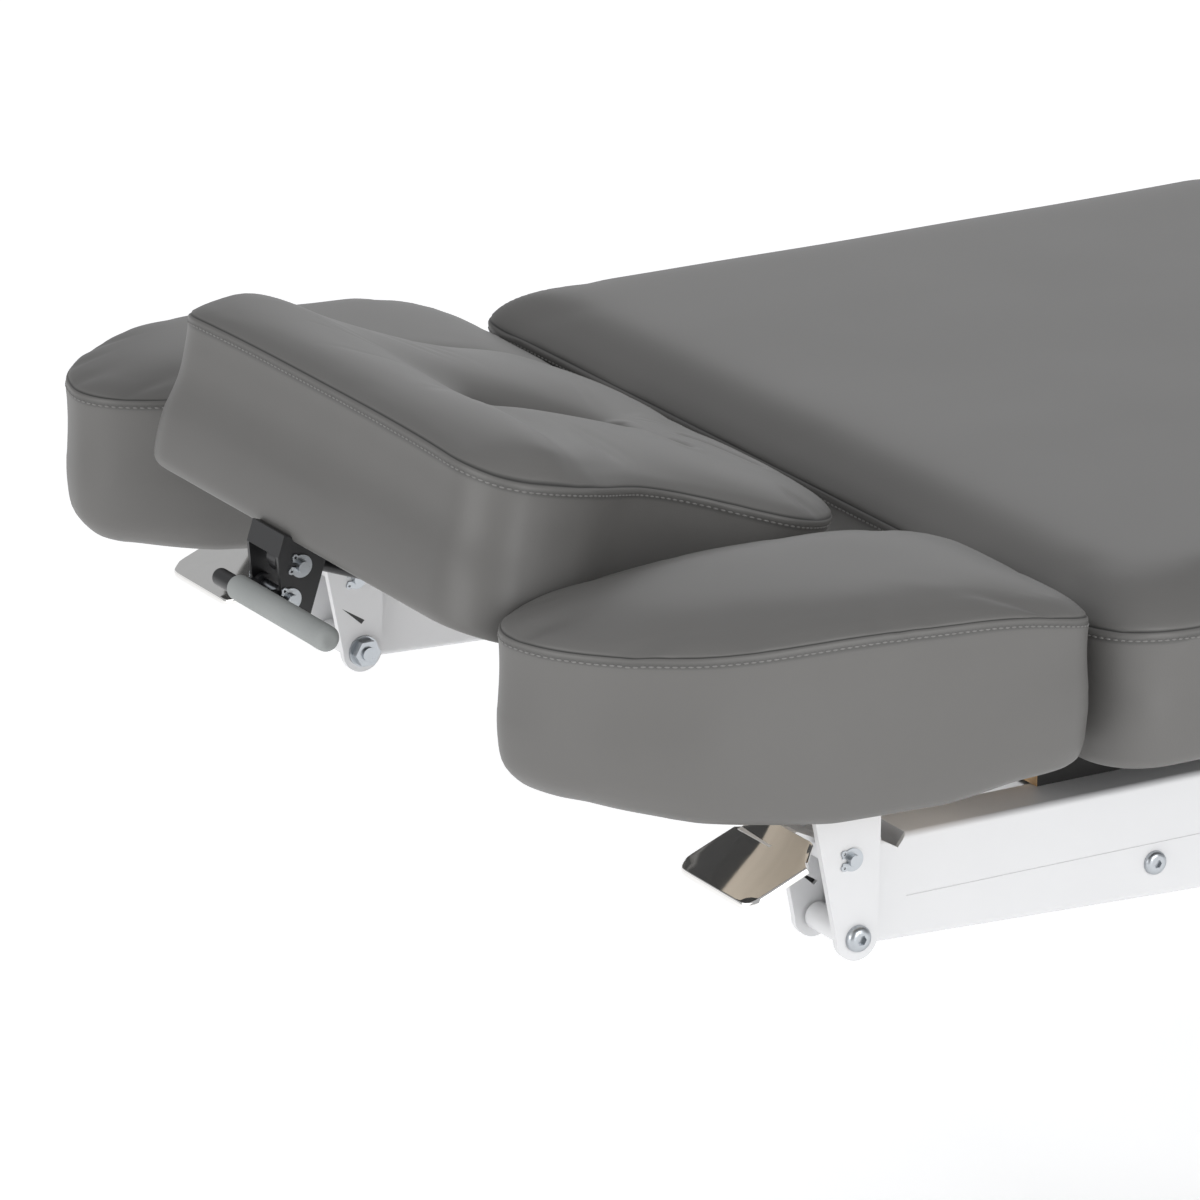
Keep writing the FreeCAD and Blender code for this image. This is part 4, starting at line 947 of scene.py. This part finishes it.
threadFinish = makeSprayed("greyThread", (0.150, 0.147, 0.142), (0.205, 0.201, 0.195),
                           0.55, 0.7, 2500.0, 0.3)


def stitchShape(spec):
    # one stitch of thread, modelled once
    bpy.ops.object.select_all(action="DESELECT")
    bpy.ops.mesh.primitive_uv_sphere_add(segments=8, ring_count=5, radius=0.5, rotation=(0, math.pi / 2, 0))
    bead = bpy.context.object
    bpy.ops.object.transform_apply(location=False, rotation=True, scale=False)
    bead.scale = (spec["length"], spec["width"], spec["proud"] * 2)
    bpy.ops.object.transform_apply(location=False, rotation=False, scale=True)
    points = [point.co.copy() for point in bead.data.vertices]
    faces = [tuple(face.vertices) for face in bead.data.polygons]
    bpy.data.objects.remove(bead)
    return points, faces


stitchPoints, stitchFaces = stitchShape(stitch)


def sewRow(name, piece, body, seamLine, down, spec):
    # a row of stitches on the side panel, just under the seam
    mesh = piece.data
    tree = BVHTree.FromPolygons([point.co for point in mesh.vertices],
                                [face.vertices for face in mesh.polygons])
    line = seamLine + seamLine[:1]
    total = sum((after - before).length for before, after in zip(line, line[1:]))
    count = int(total / (spec["pitch"] * mm))
    places = evenRun(line, count)
    points, faces = [], []
    for index, place in enumerate(places):
        along = (places[(index + 1) % count] - places[index - 1]).normalized()
        out = along.cross(-down).normalized()
        start = place + down * spec["below"] * mm + out * spec["probeOut"] * mm
        hit, normal, _, _ = tree.ray_cast(start, -out, spec["probeIn"] * mm)
        if hit is None:
            continue
        across = normal.cross(along).normalized()
        turn = Matrix((along, across, normal)).transposed()
        base = len(points)
        points += [hit + turn @ (point * mm) for point in stitchPoints]
        faces += [tuple(base + k for k in face) for face in stitchFaces]
    sewn = bpy.data.meshes.new(name)
    sewn.from_pydata(points, [], faces)
    for face in sewn.polygons:
        face.use_smooth = True
    sewn.materials.append(threadFinish)
    row = bpy.data.objects.new(name, sewn)
    bpy.context.scene.collection.objects.link(row)
    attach(row, body)


tilt = math.radians(headPad["tilt"])
for piece, node, body, seamLoop in pads:
    seamLine = finishPad(piece, node, body, seamLoop, seamForm)
    down = Vector((-math.sin(tilt), 0, -math.cos(tilt))) if node == "head_cushion" else Vector((0, 0, -1))
    sewRow(piece.name + "Stitches", piece, body, seamLine, down, stitch)
print("pads sewn")


# steps of modelling in edit mode
def choosePoints(mesh, wanted):
    # edit mode must be off; select only the points that are wanted, and the edges between them
    for face in mesh.polygons:
        face.select = False
    for edge in mesh.edges:
        edge.select = False
    for point in mesh.vertices:
        point.select = wanted(point.co / mm)
    for edge in mesh.edges:
        edge.select = all(mesh.vertices[k].select for k in edge.vertices)


def stepOut(piece, wanted, way, grow=None):
    # extrude the edges between the chosen points, and widen or narrow them
    choosePoints(piece.data, wanted)
    bpy.ops.object.mode_set(mode="EDIT")
    bpy.ops.mesh.extrude_edges_move(TRANSFORM_OT_translate={"value": [step * mm for step in way]})
    if grow:
        bpy.ops.transform.resize(value=grow)
    bpy.ops.object.mode_set(mode="OBJECT")


def bevelChosen(piece, wanted, **settings):
    choosePoints(piece.data, wanted)
    bpy.ops.object.mode_set(mode="EDIT")
    bpy.ops.mesh.bevel(**settings)
    bpy.ops.object.mode_set(mode="OBJECT")


def raisePlan(name, plan, way):
    # a flat face on the plan's points, extruded into a closed block
    bpy.ops.object.select_all(action="DESELECT")
    bpy.ops.mesh.primitive_circle_add(vertices=len(plan), radius=mm, fill_type="NGON")
    piece = bpy.context.object
    piece.name = name
    for point, place in zip(piece.data.vertices, plan):
        point.co = Vector(place) * mm
    bpy.ops.object.mode_set(mode="EDIT")
    bpy.ops.mesh.select_all(action="SELECT")
    bpy.ops.mesh.extrude_region_move(TRANSFORM_OT_translate={"value": Vector(way) * mm})
    bpy.ops.mesh.select_all(action="SELECT")
    bpy.ops.mesh.normals_make_consistent(inside=False)
    bpy.ops.object.mode_set(mode="OBJECT")
    return piece


sideWords = {1: "left", -1: "right"}
nearly = 0.01


# bent chrome blades of the armrest releases
paddleBlade = {
    "pivot": (-756.0, 336.5, 590.0), "head": (-101.0, 51.2), "slope": 21.8, "length": 45.0, "width": 84.0,
    "corner": 11.0, "cornerSteps": 5, "thick": 2.6, "edge": 0.6, "edgeAngle": 50,
    "lip": 3.0, "lipTurn": (-0.4, 0.4), "lipEnd": (-0.1, 0.6), "lipSpread": 1.02,
    "neck": 17.0, "neckShare": 0.56, "neckTurn": 4.0, "neckTurnShare": 0.8, "neckRises": (0.4, 2.0),
}


def buildPaddle(side, spec):
    half, corner, foot = spec["width"] / 2, spec["corner"] + nearly, spec["length"]
    bpy.ops.object.select_all(action="DESELECT")
    bpy.ops.mesh.primitive_grid_add(x_subdivisions=3, y_subdivisions=3, size=mm)
    piece = bpy.context.object
    piece.name = sideWords[side] + "Blade"
    piece.scale = (spec["length"], spec["width"], 1)
    piece.location = (spec["length"] / 2 * mm, 0, 0)
    bpy.ops.object.transform_apply(location=True, rotation=False, scale=True)
    bpy.ops.object.mode_set(mode="EDIT")
    bpy.ops.mesh.select_mode(type="VERT")
    bpy.ops.object.mode_set(mode="OBJECT")
    bevelChosen(piece, lambda co: co.x < nearly and abs(co.y) > half - nearly,
                offset=spec["corner"] * mm, segments=spec["cornerSteps"], affect="VERTICES")
    # the rim turns down along the head edge, the corners and both sides
    lip, spread = spec["lip"], spec["lipSpread"]
    (turnStep, turnShare), (endStep, endShare) = spec["lipTurn"], spec["lipEnd"]
    stepOut(piece, lambda co: abs(co.y) > half - nearly or co.x < nearly
            or (co.x < corner and abs(co.y) > half - corner),
            (turnStep, 0, -lip * turnShare), (spread, spread, 1))
    stepOut(piece, lambda co: co.z < -0.5, (endStep, 0, -lip * endShare))
    # the foot edge narrows to the neck
    turn, narrow = spec["neckTurn"], spec["neckTurnShare"]
    firstRise, lastRise = spec["neckRises"]
    stepOut(piece, lambda co: co.x > foot - 0.7, (turn, 0, firstRise), (1, narrow, 1))
    stepOut(piece, lambda co: co.x > foot + 3, (spec["neck"] - turn, 0, lastRise),
            (1, spec["neckShare"] / narrow, 1))
    wall = piece.modifiers.new("wall", "SOLIDIFY")
    wall.thickness = spec["thick"] * mm
    wall.offset = 0
    rim = piece.modifiers.new("rim", "BEVEL")
    rim.width = spec["edge"] * mm
    rim.segments = 2
    rim.angle_limit = math.radians(spec["edgeAngle"])
    finer = piece.modifiers.new("finer", "SUBSURF")
    finer.levels = 1
    finer.render_levels = 1
    for step in ("wall", "rim", "finer"):
        bpy.ops.object.modifier_apply(modifier=step)
    bpy.ops.object.shade_smooth()
    x, y, z = spec["pivot"]
    piece.rotation_euler = (0, -math.radians(spec["slope"]), 0)
    piece.location = ((x + spec["head"][0]) * mm, side * y * mm, (z + spec["head"][1]) * mm)
    bpy.ops.object.transform_apply(location=True, rotation=True, scale=True)
    piece.data.materials.append(finishes["chrome"])
    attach(piece, "paddle_" + sideWords[side])
    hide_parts(sideWords[side] + "_paddle")


for side in sideWords:
    buildPaddle(side, paddleBlade)
print("paddles bent")


# armrest boards: short at the tip and chamfered below, so they stay out of sight behind the pad's edge
armBoard = {"share": (0.72, 0.62), "middle": (-26.0, -2.0), "tip": -104.0, "low": 690.0, "thick": 12.0,
            "chamfer": 7.0, "smoothAngle": 0.4}


def buildArmBoard(side, spec):
    pivotX, pivotY = armPad["pivot"]
    middleX, middleY = spec["middle"]
    along, across = spec["share"]
    plan = []
    for x, out in armPad["plan"]:
        inX = max(spec["tip"], middleX + along * (x - middleX))
        inOut = middleY + across * (out - middleY)
        plan.append((pivotX + inX, side * (pivotY + inOut), spec["low"]))
    piece = raisePlan(sideWords[side] + "Board", plan, (0, 0, spec["thick"]))
    bevelChosen(piece, lambda co: co.z < spec["low"] + 0.1,
                offset=spec["chamfer"] * mm, segments=2, affect="EDGES")
    bpy.ops.object.shade_smooth_by_angle(angle=spec["smoothAngle"])
    piece.data.materials.append(armBoardFinish)
    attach(piece, "arm_" + sideWords[side])
    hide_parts(sideWords[side] + "_arm_board")


for side in sideWords:
    buildArmBoard(side, armBoard)
print("armrest boards cut")


# dark plastic filling the pointer slot of each inner bracket cheek, as painted shade standing in for the
# shadow inside the slot
slotShadeFill = {"corners": [(-772.0, 623.0), (-754.5, 612.0), (-757.0, 609.5)], "face": 290.6, "thick": 1.8}


def buildSlotShade(side, spec):
    plan = [(x, side * spec["face"], z) for x, z in spec["corners"]]
    piece = raisePlan(sideWords[side] + "SlotShadow", plan, (0, side * spec["thick"], 0))
    piece.data.materials.append(finishes["plastic"])
    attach(piece, "arm_" + sideWords[side])


for side in sideWords:
    buildSlotShade(side, slotShadeFill)
print("pointer slots filled")


# sheet and tube edges are broken a little
softEdges = {
    "width": 0.8, "angle": 40.0, "rounds": 2, "flatAngle": 1, "join": 1e-5,
    "nodes": ["base_spine", "base_cross_tubes", "base_end_caps", "column_outer_tubes", "column_mid_tubes",
              "column_inner_tubes", "lift_motors", "control_box", "chassis_tubes", "anchor_bars",
              "seat_stubs", "seat_rails", "seat_hinge_straps", "back_rail_left", "back_rail_right",
              "back_cross_tubes", "back_lug", "back_hinge_straps", "head_carrier", "head_lugs",
              "head_bracket", "left_arm_bracket", "right_arm_bracket", "left_pawl", "right_pawl",
              "leg_rails", "leg_cross_tubes", "leg_lug", "leg_hinge_straps", "back_actuator", "leg_actuator"],
}
for nodeName in softEdges["nodes"]:
    part = nodes[nodeName]
    joined = part.modifiers.new("joined", "WELD")
    joined.merge_threshold = softEdges["join"]
    flattened = part.modifiers.new("flattened", "DECIMATE")
    flattened.decimate_type = "DISSOLVE"
    flattened.angle_limit = math.radians(softEdges["flatAngle"])
    broken = part.modifiers.new("broken", "BEVEL")
    broken.width = softEdges["width"] * mm
    broken.segments = softEdges["rounds"]
    broken.limit_method = "ANGLE"
    broken.angle_limit = math.radians(softEdges["angle"])
print("edges softened")
